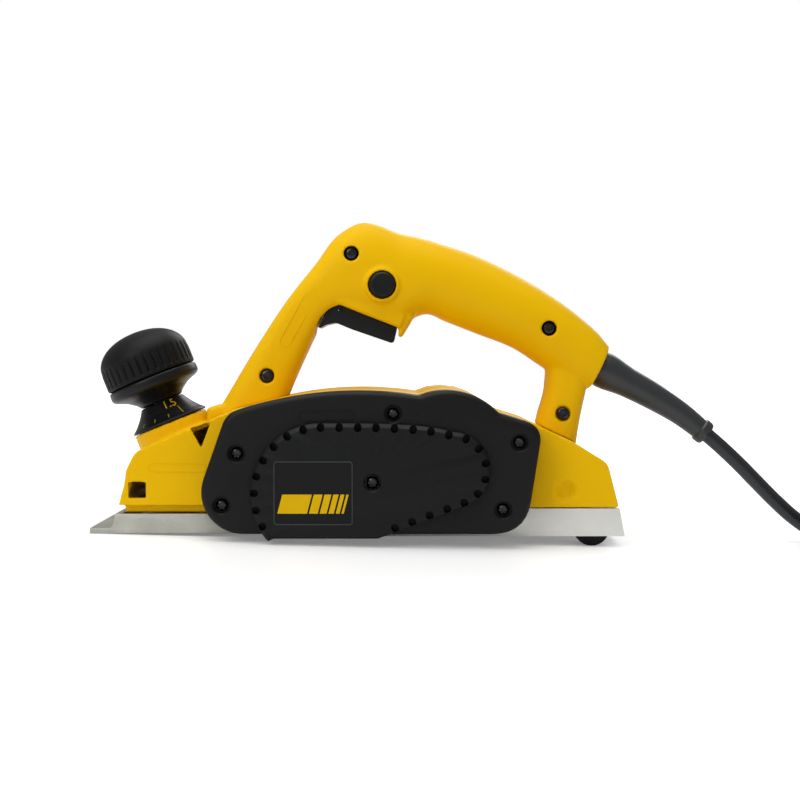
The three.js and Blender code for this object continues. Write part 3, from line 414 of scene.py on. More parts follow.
# smoother black nylon for the knob and the switch
smoothBlack = moulded("polished black nylon", "#0F1011", "#0A0B0C", 0.34, 1.4, 0.02,
                      **{"Specular IOR Level": 0.26})
# soft rubber over nylon: darker and duller
softRubber = moulded("moulded soft rubber", "#0B0C0D", "#080909", 0.5, 1.2, 0.06,
                     **{"Specular IOR Level": 0.18})
# the sleeve's flexible rubber: a worn, paler charcoal
sleeveRubber = moulded("flexible grey-black rubber", "#2C2E30", "#242627", 0.36, 1.4, 0.04,
                       **{"Specular IOR Level": 0.5})
# black nylon painted pale grey for raised lines: a painted edge highlight, a pale thread on the black
paintedHighlightBlack = moulded("black nylon with a painted edge highlight", "#3C3E40", "#303234", 0.5, 0.9, 0.04,
                      **{"Specular IOR Level": 0.25})
# PVC jacket of the mains lead: a smooth dark grey with a soft gloss
cableJacket = moulded("extruded PVC cable jacket", "#191C21", "#14171B", 0.36, 2.0, 0.02)
# die-cast aluminium with its sides as cast: pale grey, dull and a little pitted
castAluminium = metal("die-cast aluminium", "#CDCDC5", "#9E9E96", 0.5, 0.8, 0.26)
# the rear casting is milled and lightly blasted: paler and more even
milledAluminium = metal("milled aluminium casting", "#EDEDE9", "#DCDCD8", 0.5, 1.2, 0.08,
                        **{"Metallic": 0.45})
# ground steel of shafts and pins: a brighter grey with fine marks
groundSteel = metal("ground steel", "#B9BBBE", "#A5A8AC", 0.28, 0.8, 0.01, stretch=(1, 6, 1))
# black-oxide screws: nearly black with a hard small glint
oxideSteel = metal("black-oxide steel", "#434345", "#2E2E30", 0.2, 1.0, 0.01)
# carbide knives: dark grey, finely ground
carbide = metal("ground carbide", "#8F9397", "#7E8286", 0.22, 0.6, 0.005, stretch=(1, 8, 1))
# varnished copper windings: a warm red-brown between the dark parts
copper = metal("varnished copper wire", "#B8703C", "#9A5728", 0.35, 1.0, 0.05, stretch=(1, 8, 1))
# printed marks in the housing's own yellow, a touch flatter and greener on the black
yellowInk = moulded("printed yellow ink", "#E0B400", "#D4A800", 0.5, 1.0, 0.005,
                    **{"Specular IOR Level": 0.1})
# dark printed panel: a shade blacker and glossier than the cover round it
darkPanel = moulded("printed black polycarbonate", "#0E0F10", "#0A0B0C", 0.38, 2.0, 0.005,
                    **{"Specular IOR Level": 0.2})
print("materials made")

cordFacts = {
    "diameter": 8.5, "length": 2500, "points": 16,
    "lead": ((199.3, 60.2), (207.1, 53.8), (218.1, 44), (229.1, 33.4), (240.1, 23), (251.1, 13.8),
             (261.1, 7.8), (270.6, 5.3), (280.5, 4.7), (291, 4.55), (301, 4.55)),
    "columns": (55.1, 46.4, 37.7), "layers": (4.55, 13.2, 21.8), "neckRise": 18.0}
tieFacts = {"angle": -118, "width": 5.0, "thick": 0.9,
            "box": [(32.6, 0.05, 2.5), (60.0, 0.05, 2.5), (60.0, 26.4, 4), (32.6, 26.4, 4)]}
plugRows = [  # mm from the neck's end, share of the body's half size there
    (0, 0.30), (0, 0.34), (6, 0.36), (12, 0.38), (18, 0.42), (22, 0.5), (24, 0.66), (27, 0.8),
    (31, 0.9), (38, 0.94), (46, 0.9), (54, 0.92), (60, 0.99), (64.5, 0.99), (66, 0.93)]


def makeCord():
    f = cordFacts
    low, high = (np.array(c) * 1000 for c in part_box("cord_coil"))
    centre = (low + high)[:2] / 2
    outer, middle, inner = f["columns"]
    bottom, second, top = f["layers"]
    # angle wound, radius there; and angle wound, height there: between rows it eases over
    radius = np.array([(0, outer), (330, outer), (360, middle), (690, middle), (720, inner),
                       (1350, inner), (1380, middle), (1710, middle), (1740, outer),
                       (2370, outer), (2400, middle), (2700, middle), (2730, inner),
                       (2800, inner), (2863, 33.0)])
    height = np.array([(0, bottom), (1020, bottom), (1050, second), (2040, second), (2070, top),
                       (2730, top), (2800, top + 7.5), (2863, top + f["neckRise"])])
    wound = np.arange(0, 2863 + 1e-6, 360 / f["points"])
    wound = np.r_[wound[wound < 2850], 2863]

    def between(table):
        at = np.clip(np.searchsorted(table[:, 0], wound, side="right") - 1, 0, len(table) - 2)
        u = (wound - table[at, 0]) / (table[at + 1, 0] - table[at, 0])
        u = u * u * (3 - 2 * u)
        return table[at, 1] + (table[at + 1, 1] - table[at, 1]) * u

    turnBy = np.radians(90 - wound)
    coil = np.column_stack([centre[0] + between(radius) * np.cos(turnBy),
                            centre[1] + between(radius) * np.sin(turnBy), between(height)])
    lead = np.array([(x, 0, z) for x, z in f["lead"]])
    route = np.vstack([lead, coil]) / 1000
    data = bpy.data.curves.new("mains_lead", "CURVE")
    data.dimensions, data.bevel_depth, data.bevel_resolution = "3D", f["diameter"] / 2000, 5
    data.resolution_u, data.use_fill_caps = 6, True
    line = data.splines.new("BEZIER")
    line.bezier_points.add(len(route) - 1)
    line.bezier_points.foreach_set("co", route.ravel())
    for point in line.bezier_points:
        point.handle_left_type = point.handle_right_type = "AUTO"
    cord = placed("mains_lead", data)
    data.materials.append(cableJacket)
    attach(cord, "tool")
    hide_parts("cord_lead", "cord_coil")
    return cord, route, centre


def makeTie(centre):
    # a flat strap round the bundle: a rounded box line in radius and height, a few mm wide
    f = tieFacts
    box = rounded(f["box"], 6)
    inner = insetBy(box, f["thick"])
    a = math.radians(f["angle"])
    out, along = np.array((math.cos(a), math.sin(a), 0)), np.array((-math.sin(a), math.cos(a), 0))
    rings = [np.array((*centre, 0)) + line[:, :1] * out + line[:, 1:] * np.array((0, 0, 1))
             + shift * along
             for line, shift in ((box, -f["width"] / 2), (box, f["width"] / 2),
                                 (inner, f["width"] / 2), (inner, -f["width"] / 2))]
    tie = draft("cord_tie", skinned(rings, wrap=True))
    return settle(tie, "tool", softRubber, place=millimetres)


def makePlug():
    # a moulded plug: a rounded body with finger steps, and a narrower neck towards the lead
    low, high = (np.array(c) * 1000 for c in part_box("plug"))
    mid = (low + high) / 2
    xEnd = high[0]
    half = np.array((high[1] - low[1], high[2] - low[2])) / 2
    t = np.linspace(0, 2 * math.pi, 48, endpoint=False)
    c, s = (np.sign(f(t)) * np.abs(f(t)) ** 0.5 for f in (np.cos, np.sin))
    rings = [np.column_stack([np.full(48, low[0] + x * (xEnd - low[0]) / 66),
                              mid[1] + half[0] * k * c * (0.62 if x < 23 else 1),
                              mid[2] + half[1] * k * s]) for x, k in plugRows]
    return settle(draft("plug_body", skinned(rings)), "tool", smoothBlack,
                  ("plug",), place=millimetres)


cord, route, coilCentre = makeCord()
tie = makeTie(coilCentre)
plug = makePlug()
print("cord laid:", len(route), "points")

knob = {"base": (-108, 0, 59.8), "tilt": 22.0, "grooves": 36, "grooveDepth": 0.9, "grooveWidth": 0.6,
        "coneR": (21.7, 19.3, 16.3, 13.9, 12.4), "coneH": (1.0, 3.0, 6.4, 9.8, 12.4)}
dialMarks = {"spacing": 25.0, "count": 9, "first": 36, "width": 0.22, "proud": 0.12,
             "from": 2.4, "to": 4.3, "longTo": 6.8}
dialFigure = {"text": "1.5", "size": 6.8, "raised": 0.25, "height": 7.6, "angle": 0.40,
              "tall": 0.92, "round": 14.6}
knobAxis = (-math.sin(math.radians(knob["tilt"])), 0, math.cos(math.radians(knob["tilt"])))


def arcRows(rows, radius, count=5):
    # each inner corner of a profile becomes a short arc, so that its edge catches light
    line = np.array(rows, float)
    out = [line[:1]]
    for i in range(1, len(line) - 1):
        a, b = line[i - 1] - line[i], line[i + 1] - line[i]
        la, lb = np.linalg.norm(a), np.linalg.norm(b)
        reach = min(radius, 0.45 * la, 0.45 * lb)
        t = np.linspace(0, 1, count)[:, None]
        out.append((1 - t) ** 2 * (line[i] + a / la * reach) + 2 * t * (1 - t) * line[i]
                   + t * t * (line[i] + b / lb * reach))
    return np.vstack(out + [line[-1:]])


def knobPiece(name, replaced, profile, material, ribs=None, around=96, sharp=40):
    # a profile of radius and height swept round the knob's leaning axis
    shape = turned(profile, knob["base"], knobAxis, around, ribs)
    settle(draft(name, shape), "depth_knob", material, replaced, sharp)


def makeKnob():
    slope = list(zip(knob["coneR"], knob["coneH"]))
    dial = arcRows([(5.2, 0), (slope[0][0], 0), *slope, (5.2, slope[-1][1])], 0.9)
    knobPiece("dial_cone", ("depth_dial",), dial, smoothBlack)
    body = arcRows([(5.2, 12.7), (12, 12.7), (13.4, 14.8), (18, 18.2), (24.6, 20.8), (26, 22.4),
                    (25.8, 27), (22.5, 27.2), (22.5, 38.6), (5.2, 38.6)], 1.4)
    knobPiece("knob_flange", ("knob_body",), body, smoothBlack)
    # lip, upright band, then a dome whose radius and height follow a quarter ellipse
    t = np.linspace(0, 1, 30) * math.pi / 2
    dome = np.column_stack([25.55 * np.cos(t) ** 0.92 + 0.01, 38.6 + 16.0 * np.sin(t)])
    band = arcRows([(22.8, 27.6), (25.3, 27.6), (25.85, 28.6), (25.85, 30.4), (25.85, 35),
                    (25.8, 37.4)], 0.5, 4)
    rows = np.vstack([[(2, 39.3), (22.8, 38.0)], band, dome])

    def grooved(radius, height, angle):
        # narrow upright grooves, deepest on the band and fading out on the dome
        turn = angle * knob["grooves"] / (2 * math.pi)
        off = np.abs(turn - np.round(turn)) * 2 * math.pi * 26 / knob["grooves"]
        fade = np.clip((41.2 - height) / 4.0, 0, 1) * np.clip((height - 28.8) / 1.6, 0, 1)
        fade = fade * (radius > 23.2)
        return radius - knob["grooveDepth"] * np.exp(-(off / knob["grooveWidth"]) ** 2) * fade

    knobPiece("knob_dome", ("knob_cap", "knob_grip_ring"), rows, softRubber,
              grooved, 720, 60)


def makeDialMarks():
    # a long line and short ones on the cone's lower slope, going round it one way
    f = dialMarks
    base, axis = np.array(knob["base"], float), np.array(knobAxis)
    side = np.array((0, -1.0, 0))
    shapes = []

    def bar(angle, high):
        # four rows on the cone up to a height, raised a little off its slope
        ring = []
        for proud in (-0.2, f["proud"]):
            for h in np.linspace(f["from"], high, 4):
                r = np.interp(h, knob["coneH"], knob["coneR"])
                for k in (-1, 1):
                    a = math.radians(angle) + k * f["width"] / 2 / r
                    out = side * math.cos(a) + np.cross(axis, side) * math.sin(a)
                    ring.append(base + axis * (h + proud * 0.6) + out * (r + proud * 0.8))
        p = np.array(ring).reshape(2, 4, 2, 3)
        shapes.append(skinned(np.stack([p[0, :, 0], p[0, :, 1], p[1, :, 1], p[1, :, 0]], 1)))

    for k in range(f["count"]):
        bar(f["first"] - k * f["spacing"], f["longTo"] if k == 0 else f["to"])
    settle(draft("dial_marks", *shapes), "depth_knob", yellowInk)


def makeDialFigure():
    # a plain depth figure, drawn as raised strokes on the side of the cone
    f = dialFigure
    data = bpy.data.curves.new("dial_figure", "FONT")
    data.body, data.size, data.extrude, data.offset = f["text"], f["size"], f["raised"], -0.02
    data.align_x = "CENTER"
    temp = placed("dial_figure_draft", data)
    mesh = bpy.data.meshes.new_from_object(temp.evaluated_get(bpy.context.evaluated_depsgraph_get()))
    bpy.data.objects.remove(temp)
    points = np.zeros(len(mesh.vertices) * 3, np.float32)
    mesh.vertices.foreach_get("co", points)
    glyph = points.reshape(-1, 3).astype(float)
    # the glyph's x goes round the cone, its y up the slope, its z outwards
    base, axis, side = np.array(knob["base"], float), np.array(knobAxis), np.array((0, -1.0, 0))
    h = f["height"] + glyph[:, 1] * f["tall"]
    r = np.interp(h, knob["coneH"], knob["coneR"]) + glyph[:, 2] * 0.6
    a = f["angle"] + glyph[:, 0] / f["round"]
    out = np.cos(a)[:, None] * side + np.sin(a)[:, None] * np.cross(axis, side)
    wrapped = base + h[:, None] * axis + r[:, None] * out
    mesh.vertices.foreach_set("co", wrapped.astype(np.float32).ravel())
    mesh.name = "dial_figure"
    piece = placed("dial_figure", mesh)
    outward(piece, 0.0005)
    settle(piece, "depth_knob", yellowInk)


makeKnob()
makeDialMarks()
makeDialFigure()
print("knob made")

grip = {
    "stations": [  # outer x z, inner x z, half width, squareness
        (-88.6, 52, -60, 36, 15.5, 3.2), (-70.3, 83, -43.2, 67.8, 15, 3.2),
        (-56.4, 105.6, -32.8, 92, 14.5, 3.3), (-39.9, 130.2, -19.6, 117.6, 14.6, 3.4),
        (-24.9, 149.1, -9, 123.5, 15.5, 3.0), (-10.8, 166.8, 3, 119.5, 17, 2.7),
        (3, 173.1, 11.5, 116.4, 17.6, 2.6), (12.5, 171, 17.5, 114.3, 17.8, 2.6),
        (22, 167.2, 24, 114, 17.8, 2.5), (34.4, 164.5, 30.5, 118.6, 17.8, 2.4),
        (48, 160.5, 38.6, 121.2, 17.8, 2.3), (64.2, 155.1, 48.8, 117.1, 17.8, 2.2),
        (83.0, 146.6, 67, 110, 17.6, 2.2), (104.6, 134.5, 87.7, 101.8, 17, 2.3),
        (123.2, 121.3, 104.9, 90.6, 16, 2.4), (136.8, 109.2, 121, 80.5, 14.5, 2.5),
        (142, 102.6, 130.6, 78.9, 13, 2.5)],
    "post": [
        (133, 98, 102.5, 104, 12, 2.7), (130.2, 86, 106, 89.5, 12.8, 2.8),
        (129.2, 79.5, 105.4, 80.5, 13, 2.8), (126, 64.3, 101.5, 65, 13.5, 2.8),
        (122.6, 43, 97, 45, 14, 2.8)],
    # outlines as x, z and corner radius: fin behind the trigger, toe behind the dial, cheeks
    "fin": [(20.5, 116, 0), (21.8, 109.4, 1), (23.8, 107.4, 1.2), (27.6, 113.4, 1), (32, 121, 1),
            (24, 124, 0)],
    "toe": [(-85.6, 56, 1), (-85.9, 67.6, 1.0), (-83.2, 69.2, 1.2), (-75.2, 70.8, 3), (-66, 82, 1),
            (-58, 64, 1)],
    "cheek": [(-14, 127.6, 0.5), (5, 120.0, 6), (23.6, 112.8, 1), (27, 120, 3), (8, 134, 3),
              (-10, 138, 3)],
    "slot": [(-25, 104), (-24.5, 113), (-18.5, 125.5), (-14, 132), (-8, 140), (16, 138), (24.4, 119),
             (23.4, 114.6), (21.8, 108), (21, 100)],
    # below this line is the housing, left clear by a small gap
    "foot": [(-129.4, 16.8), (-126.2, 29), (-122.4, 42), (-115.8, 47.9), (-89, 58.4), (-67, 68.1),
             (-62, 69.4), (-40, 75.0), (0, 79.3), (33, 76.6), (75.6, 67.8), (93.4, 62.3), (118, 50.9),
             (133.6, 41.2), (142, 15.3)],
    "skin": 2.6, "voxel": 0.8, "smooth": 3, "keep": 0.75,
    "screws": [(-4, 154.8), (-51.5, 86.4), (106.6, 113), (114.8, 65.1)],
    "recess": 4.3, "recessEnd": -11.3, "head": 3.8,
    "button": (13.2, 137.2), "buttonBore": 7.8,
    "ring": [(1, 0), (10.8, 0), (9.9, 3.2), (9.0, 4.3), (1, 4.3)]}


def shrunk(stations, skin):
    # the same stations with the skin's thickness taken off on every side
    rows = np.asarray(stations, float).copy()
    way = rows[:, 0:2] - rows[:, 2:4]
    way = way / np.linalg.norm(way, axis=1)[:, None] * skin
    rows[:, 0:2] -= way
    rows[:, 2:4] += way
    rows[:, 4] -= skin
    return rows


def makeHandle():
    # the grip's and rear post's lofts joined, hollowed and cut, then split into two shells
    button = grip["button"]
    body = draft("handle_draft", lofted(grip["stations"]))
    combine(body, "UNION",
            draft("post", lofted(grip["post"], 48, 40)),
            draft("fin", slab(resample(rounded(grip["fin"]), 1.2), roundedSteps(-12.5, 12.5, 2.5, 2.5))),
            draft("toe", slab(resample(rounded(grip["toe"]), 1.2), roundedSteps(-13, 13, 3, 3))),
            draft("ring", turned(arcRows(grip["ring"], 0.7), (button[0], -15.2, button[1]), (0, -1, 0))))
    # flat cheeks either side of the trigger, down to its upper edge
    cheek = resample(rounded(grip["cheek"]), 1.0)
    combine(body, "UNION",
            draft("cheek", slab(cheek, roundedSteps(-14.6, -11, 2.0))),
            draft("cheek", slab(cheek, roundedSteps(14.6, 11, 2.0))))
    hollow = draft("hollow", lofted(shrunk(grip["stations"][2:-1], grip["skin"] + 0.6), 32, 60))
    combine(body, "DIFFERENCE", hollow,
            draft("trigger_slot", straightSlab(grip["slot"], -11.6, 11.6)),
            draft("button_bore", bore(grip["buttonBore"], -8, 12, (button[0], -15, button[1]))),
            draft("protector_bore", bore(10.9, -16, 14, (133, 0, 92.7), (0.9, 0, -0.47))))
    for x, z in grip["screws"]:
        combine(body, "DIFFERENCE", draft("recess", bore(
            grip["recess"], 0, 24, (x, grip["recessEnd"], z), (0, -1, 0), 32)))
    combine(body, "DIFFERENCE", draft("feet", straightSlab(grip["foot"], -60, 60)))
    for name, source, near, far in (("handle_shell_left", "handle_left", 0.12, 60),
                                    ("handle_shell_right", "handle_right", -60, -0.12)):
        side = placed(name, body.data.copy())
        combine(side, "DIFFERENCE", draft("half", straightSlab(
            [(-200, -50), (250, -50), (250, 250), (-200, 250)], near, far)))
        soften(side, grip["voxel"], grip["smooth"], grip["keep"])
        settle(side, "tool", yellowNylon, (source,), 50)
    bpy.data.objects.remove(body)


def pill(name, middle, length, height, turn, face, proud=0.35, width=0.7):
    # a raised line round a rounded lozenge on the left side
    half = length / 2 - height / 2
    t = np.linspace(-math.pi / 2, math.pi / 2, 14)
    right = np.column_stack([half + height / 2 * np.cos(t), height / 2 * np.sin(t)])
    a = math.radians(turn)
    spin = np.array(((math.cos(a), math.sin(a)), (-math.sin(a), math.cos(a))))
    line = np.vstack([right, -right]) @ spin + middle
    top = face - proud
    return draft(name, slab(line, [(face + 0.3, 0), (top, 0.15), (top, width - 0.15),
                                   (face + 0.3, width)], wrap=True))


makeHandle()
settle(pill("handle_outline", (-34.6, 117.2), 33, 6.6, 61, -14.4, 0.25, 0.5),
       "tool", yellowNylon)
print("handle made")

housing = {"voxel": 1.0, "smooth": 3, "keep": 0.35, "sideFace": -42.95,
           "well": (133.6, -38.8, 9.1), "wellR": 10.8, "wellWidth": 21.6,
           "dimple": (112.7, -50.4, 24.6), "dimpleR": 9.4,
           "vent": [(-90.4, 58.7, 0.7), (-79.0, 62.1, 0.7), (-84.5, 47.6, 0.7)],
           "window": [(-124.0, 20.6, 0.8), (-114.4, 20.6, 0.8), (-114.4, 29.4, 0.8), (-124.0, 29.4, 0.8)]}


def makeHousing():
    # the CAD housing softened like a moulding
    shell = copyOf("main_housing")
    soften(shell, housing["voxel"], housing["smooth"], housing["keep"])
    # the well that the parking foot folds up into keeps its clear width, and the marks stay crisp
    t = np.linspace(0, math.pi, 40)
    ball = housing["dimpleR"] * np.column_stack([np.sin(t), -np.cos(t)]) + (0.05, 0)
    combine(shell, "DIFFERENCE",
            draft("foot_well", bore(housing["wellR"], 0, housing["wellWidth"], housing["well"])),
            draft("dimple", turned(ball, housing["dimple"], (0, 1, 0), 64)),
            draft("vent", straightSlab(rounded(housing["vent"]), -50, -38.5)),
            draft("window", straightSlab(rounded(housing["window"]), -50, -38.5)))
    settle(shell, "tool", yellowNylon, ("main_housing",), 50)
    settle(pill("housing_outline", (-97.5, 37.2), 31.7, 5.0, 0, housing["sideFace"], 0.25, 0.5),
           "tool", yellowNylon)


makeHousing()
print("housing made")

cover = {
    "face": -64, "rim": -43.3, "plate": 2.6, "round": 3.2,
    "bossFace": -70, "bossFoot": 1.9, "bossChamfer": 2.0, "bossRim": 9.0,
    "bossArch": [(-18.3, 62.6), (-4.2, 62.6), (5.5, 62.5), (15.2, 62.3), (25.1, 61.8), (34.7, 61.1),
                 (44.6, 59.7), (52.2, 57.9)],
    "drum": (-18.3, 25.3, 37.3), "motor": (50.3, 37.8, 20.4),
    "notch": {"width": 4.0, "length": 4.7, "spacing": 9.72, "depth": 8.2},
    "screws": [(-63, 46.3), (-71, 18.9), (19.6, 67.2), (86.3, 52.1), (77.7, 16.6)], "mid": (8.8, 31.5),
    "head": 3.2, "recess": 4.4}
archOf = {"x": 1, "z": -130.8, "r": 210, "barrelX": 48, "barrelZ": 42, "barrelR": 37.6}


def topLine(fromX, toX, count):
    # the shallow arch over the housing, then the motor barrel's own circle
    x = np.linspace(fromX, toX, count)
    arch = archOf["z"] + np.sqrt(archOf["r"] ** 2 - (x - archOf["x"]) ** 2)
    barrel = archOf["barrelZ"] + np.sqrt(np.maximum(
        archOf["barrelR"] ** 2 - (x - archOf["barrelX"]) ** 2, 0))
    z = np.where(x > 33.5, barrel, arch)
    return np.column_stack([x, z])


def curve(a, b, c, count=8):
    # a quadratic bend from a to c, pulled towards b
    t = np.linspace(0, 1, count)[:, None]
    a, b, c = (np.array(p, float) for p in (a, b, c))
    return (1 - t) ** 2 * a + 2 * t * (1 - t) * b + t * t * c


def coverLine():
    # a big round nose, the arched top, and a rounded corner above and below at the back
    t = np.linspace(-math.pi / 2, -math.pi - 0.35, 16)
    low = np.column_stack([-60 + 22 * np.cos(t), 25.5 + 22 * np.sin(t)])
    top = topLine(-62, 75.6, 60)
    line = np.vstack([
        [(-60, 3.5)], low, [(-70.6, 61.5)], curve((-70.6, 61.5), (-68.6, 67.6), top[0])[1:], top[1:],
        [(91, 62.8)], curve((91, 62.8), (97.6, 60.3), (97.6, 53))[1:], [(92.6, 21)],
        curve((92.6, 21), (90, 3.4), (72, 3.4))[1:]])
    return apart(line, 0.3)


def bossLine():
    # an arched top, the motor pulley's circle, a slope to the level foot, then the drum's circle
    (x1, z1, r1), (x2, z2, r2) = cover["drum"], cover["motor"]
    a = np.radians(np.linspace(78, -66, 30))
    b = np.radians(np.linspace(-138, -270, 50))
    line = np.vstack([smoothThrough(cover["bossArch"], 40),
                      np.column_stack([x2 + r2 * np.cos(a), z2 + r2 * np.sin(a)]),
                      [(11.5, cover["bossFoot"]), (-43.6, cover["bossFoot"])],
                      np.column_stack([x1 + r1 * np.cos(b), z1 + r1 * np.sin(b)])])
    return apart(line, 0.2)


def makeCover():
    # a rounded plate with a raised boss, hollow behind, with screw wells and notches cut in
    f = cover
    line = resample(coverLine(), 1.6)
    boss = resample(bossLine(), 1.6)
    shell = draft("cover_shell", slab(line, roundedSteps(f["face"], f["rim"], f["round"])))
    face, bossFace, chamfer, plate = f["face"], f["bossFace"], f["bossChamfer"], f["plate"]
    combine(shell, "UNION", draft("boss", slab(boss, [
        (bossFace, chamfer + 0.4), (bossFace + 0.2, chamfer), (bossFace + chamfer, 0.25),
        (bossFace + chamfer + 0.4, 0), (face + 1, 0)])))
    combine(shell, "DIFFERENCE",
            draft("inside", slab(resample(insetBy(line, plate), 3.0),
                                 [(face + plate, 1.2), (face + plate + 1.2, 0), (f["rim"] + 5, 0)])),
            draft("boss_inside", straightSlab(resample(insetBy(boss, f["bossRim"]), 3.0),
                                              bossFace + plate, face + 5)))
    # a pocket wall round each screw, then the deep round recess for its head
    for x, z in f["screws"]:
        combine(shell, "UNION", draft("pocket", bore(5.6, 0, 4.5, (x, face + 1.6, z), around=40)))
    wells = [(x, face, z, 3.9, 2) for x, z in f["screws"]]
    mouth, wall = f["recess"] + 0.7, f["recess"]
    for x, y, z, deep, shank in wells + [(f["mid"][0], bossFace, f["mid"][1], 3.5, 1.2)]:
        combine(shell, "DIFFERENCE", draft("recess", turned(
            [(0.5, 0), (mouth, 0), (mouth, 0.3), (wall, 0.9), (wall, deep), (0.5, deep)],
            (x, y - 0.05, z), (0, 1, 0), 40)),
            draft("shank", bore(2.0, 0, 9, (x, y + shank, z), around=20)))
    # round-bottomed notches cut across the boss's edge, at an even distance along it
    n = f["notch"]
    rim = resample(insetBy(bossLine(), -0.1), 0.25)
    upper = rim[:, 1] > 4.2
    at = travelled(rim)
    side = np.gradient(rim, axis=0)
    side = side / np.linalg.norm(side, axis=1)[:, None]
    inward = np.column_stack([-side[:, 1], side[:, 0]]) * np.sign(areaOf(rim))
    slots = []
    for d in np.linspace(0, at[-1], round(at[-1] / n["spacing"]), endpoint=False):
        i = int(np.searchsorted(at, d % at[-1])) % len(rim)
        if not upper[i]:
            continue
        p, q, w = rim[i], inward[i], side[i]
        t = np.linspace(-math.pi / 2, math.pi / 2, 10)
        half = n["width"] / 2
        reach = n["length"] - half
        tip = p + q * reach + (np.sin(t)[:, None] * w + np.cos(t)[:, None] * q) * half
        tail = p + (-np.sin(t)[:, None] * w - np.cos(t)[:, None] * q) * half + q * half
        outline = np.vstack([tip, tail])
        slots.append(draft("notch", straightSlab(outline, bossFace - 1, bossFace + n["depth"])))
    for slot in slots:
        combine(shell, "DIFFERENCE", slot)
    settle(shell, "tool", blackNylon, ("belt_cover",), 40)
    settle(pill("cover_outline", (-15.7, 66.4), 30, 5.6, 2, face, 0.3),
           "tool", blackNylon)


def screwHead(name, source, x, y, z, radius, height):
    # a pan head with a six-lobed socket: lobes come from the socket wall's radius by angle
    rows = [(1.7, height + 4), (1.7, height), (radius, height), (radius, 1.5), (radius - 0.15, 1.05),
            (radius - 0.6, 0.5), (radius - 1.2, 0.16), (1.75, 0), (1.7, 0.15), (1.6, 1.5), (0.2, 1.6)]

    def lobes(r, h, angle):
        socket = (r < 1.78) & (h < 1.55)
        return np.where(socket, r * (1 + 0.14 * np.cos(6 * angle)), r)

    piece = draft(name, turned(rows, (x, y, z), (0, 1, 0), 48, lobes))
    settle(piece, "tool", oxideSteel, (source,), 30)


makeCover()
for i, (x, z) in enumerate(cover["screws"]):
    screwHead(f"cover_screw_head_{i + 1}", f"cover_screw_{i + 1}", x, -62.7, z, cover["head"], 2.4)
screwHead("cover_screw_head_6", "cover_screw_6", cover["mid"][0], -68.7, cover["mid"][1],
          cover["head"], 2.4)
for i, (x, z) in enumerate(grip["screws"]):
    screwHead(f"handle_screw_head_{i + 1}", f"handle_screw_{i + 1}", x, -14.2, z, grip["head"], 2.4)
print("belt cover and screws made")

label = {"x": (-42.9, -1.4), "z": (9.3, 42.8), "face": -70.05, "proud": 0.45, "line": 0.7,
         "band": ((-40.9, 15.4), (-3.9, 25.4)), "bars": (15.5, 4.6, 3.6, 2.8, 2.0, 1.2)}


def makeLabel():
    # a dark panel in a thin raised frame
    f = label
    (left, right), (low, high) = f["x"], f["z"]
    plate = rounded([(left, low, 1.8), (right, low, 1.8), (right, high, 1.8), (left, high, 1.8)])
    panel = slab(plate, [(f["face"] - 0.1, 0.1), (f["face"], 0), (f["face"] + 0.25, 0)])
    settle(draft("label_panel", panel), "tool", darkPanel, ("label_plate",))
    top = f["face"] - f["proud"]
    edge = slab(plate, [(f["face"], 0), (top, 0.1), (top, f["line"] - 0.1), (f["face"], f["line"])],
                wrap=True)
    # the frame's raised line in the pale grey: a painted highlight along its edge
    settle(draft("label_frame", edge), "tool", paintedHighlightBlack)
    # a plain band of slanted bars: one long block, then bars that get narrower
    (x0, z0), (_, z1) = f["band"]
    bars, x, slant = [], x0, 2.6
    for width in f["bars"]:
        bars.append(straightSlab([(x, z0), (x + width, z0), (x + width + slant, z1), (x + slant, z1)],
                                 f["face"] - 0.2, f["face"] - 0.05))
        x += width + 1.0
    settle(draft("label_band", *bars), "tool", yellowInk)


makeLabel()

trigger = {
    "line": [(-23.8, 112.0, 0.8), (-17.6, 124.3, 3), (-14, 129.4, 2.5), (-8, 128.8, 2),
             (18, 120.8, 1.2), (21.6, 113.4, 1.6), (19.6, 104.4, 1.8), (-4.5, 112.7, 8),
             (-13, 116.2, 3), (-18.5, 115.0, 2)],
    "half": 11, "edge": 1.0, "pin": (-11, 0, 125), "pinBore": 1.9}
lock = {"at": (13.2, 137.2), "r": 7.2, "front": -21.5}
protectorAt = {  # radius by share of the way along
    "path": [(124, 97.4), (133, 92.7), (140, 89), (150.5, 83.6), (166, 75.3), (183, 64.8), (198.2, 52.8)],
    "share": [0, .13, .15, .2, .242, .303, .369, .539, .73, .94, .947, .985, 1],
    "radius": [7.4, 7.4, 9.9, 10.4, 10.2, 9.3, 8.5, 7.8, 6.9, 6.0, 7.0, 7.0, 6.4]}


def makeTrigger():
    # a flat blade with rounded edges and a bore for its pin
    line = resample(rounded(trigger["line"]), 0.8)
    half, edge = trigger["half"], trigger["edge"]
    body = draft("trigger_blade", slab(line, roundedSteps(-half, half, edge, edge, 7)))
    combine(body, "DIFFERENCE", draft("pivot_bore", bore(
        trigger["pinBore"], -14, 14, trigger["pin"], around=24)))
    settle(body, "trigger", smoothBlack, ("trigger",), 40)


def makeLockButton():
    # a round cap, slightly hollow on its face
    r, (x, z) = lock["r"], lock["at"]
    rows = arcRows([(0.4, 0.35), (4.5, 0.12), (r - 1.2, 0), (r, 1.2), (r, 9.5), (0.4, 9.5)], 0.9)
    piece = draft("lock_button_cap", turned(rows, (x, lock["front"], z), (0, 1, 0), 72))
    settle(piece, "lock_button", smoothBlack, ("lock_button",), 40)


def makeProtector():
    # circles along the sleeve's bend, swelling at the handle and at the end ring
    f = protectorAt
    path = smoothThrough(np.array(f["path"], float), 260)
    share = np.linspace(0, 1, 260)
    radius = np.interp(share, f["share"], f["radius"])
    points = np.column_stack([path[:, 0], np.zeros(260), path[:, 1]])
    piece = draft("cord_protector_sleeve", alongPath(points, radius, 48))
    settle(piece, "tool", sleeveRubber, ("cord_protector",), 40)


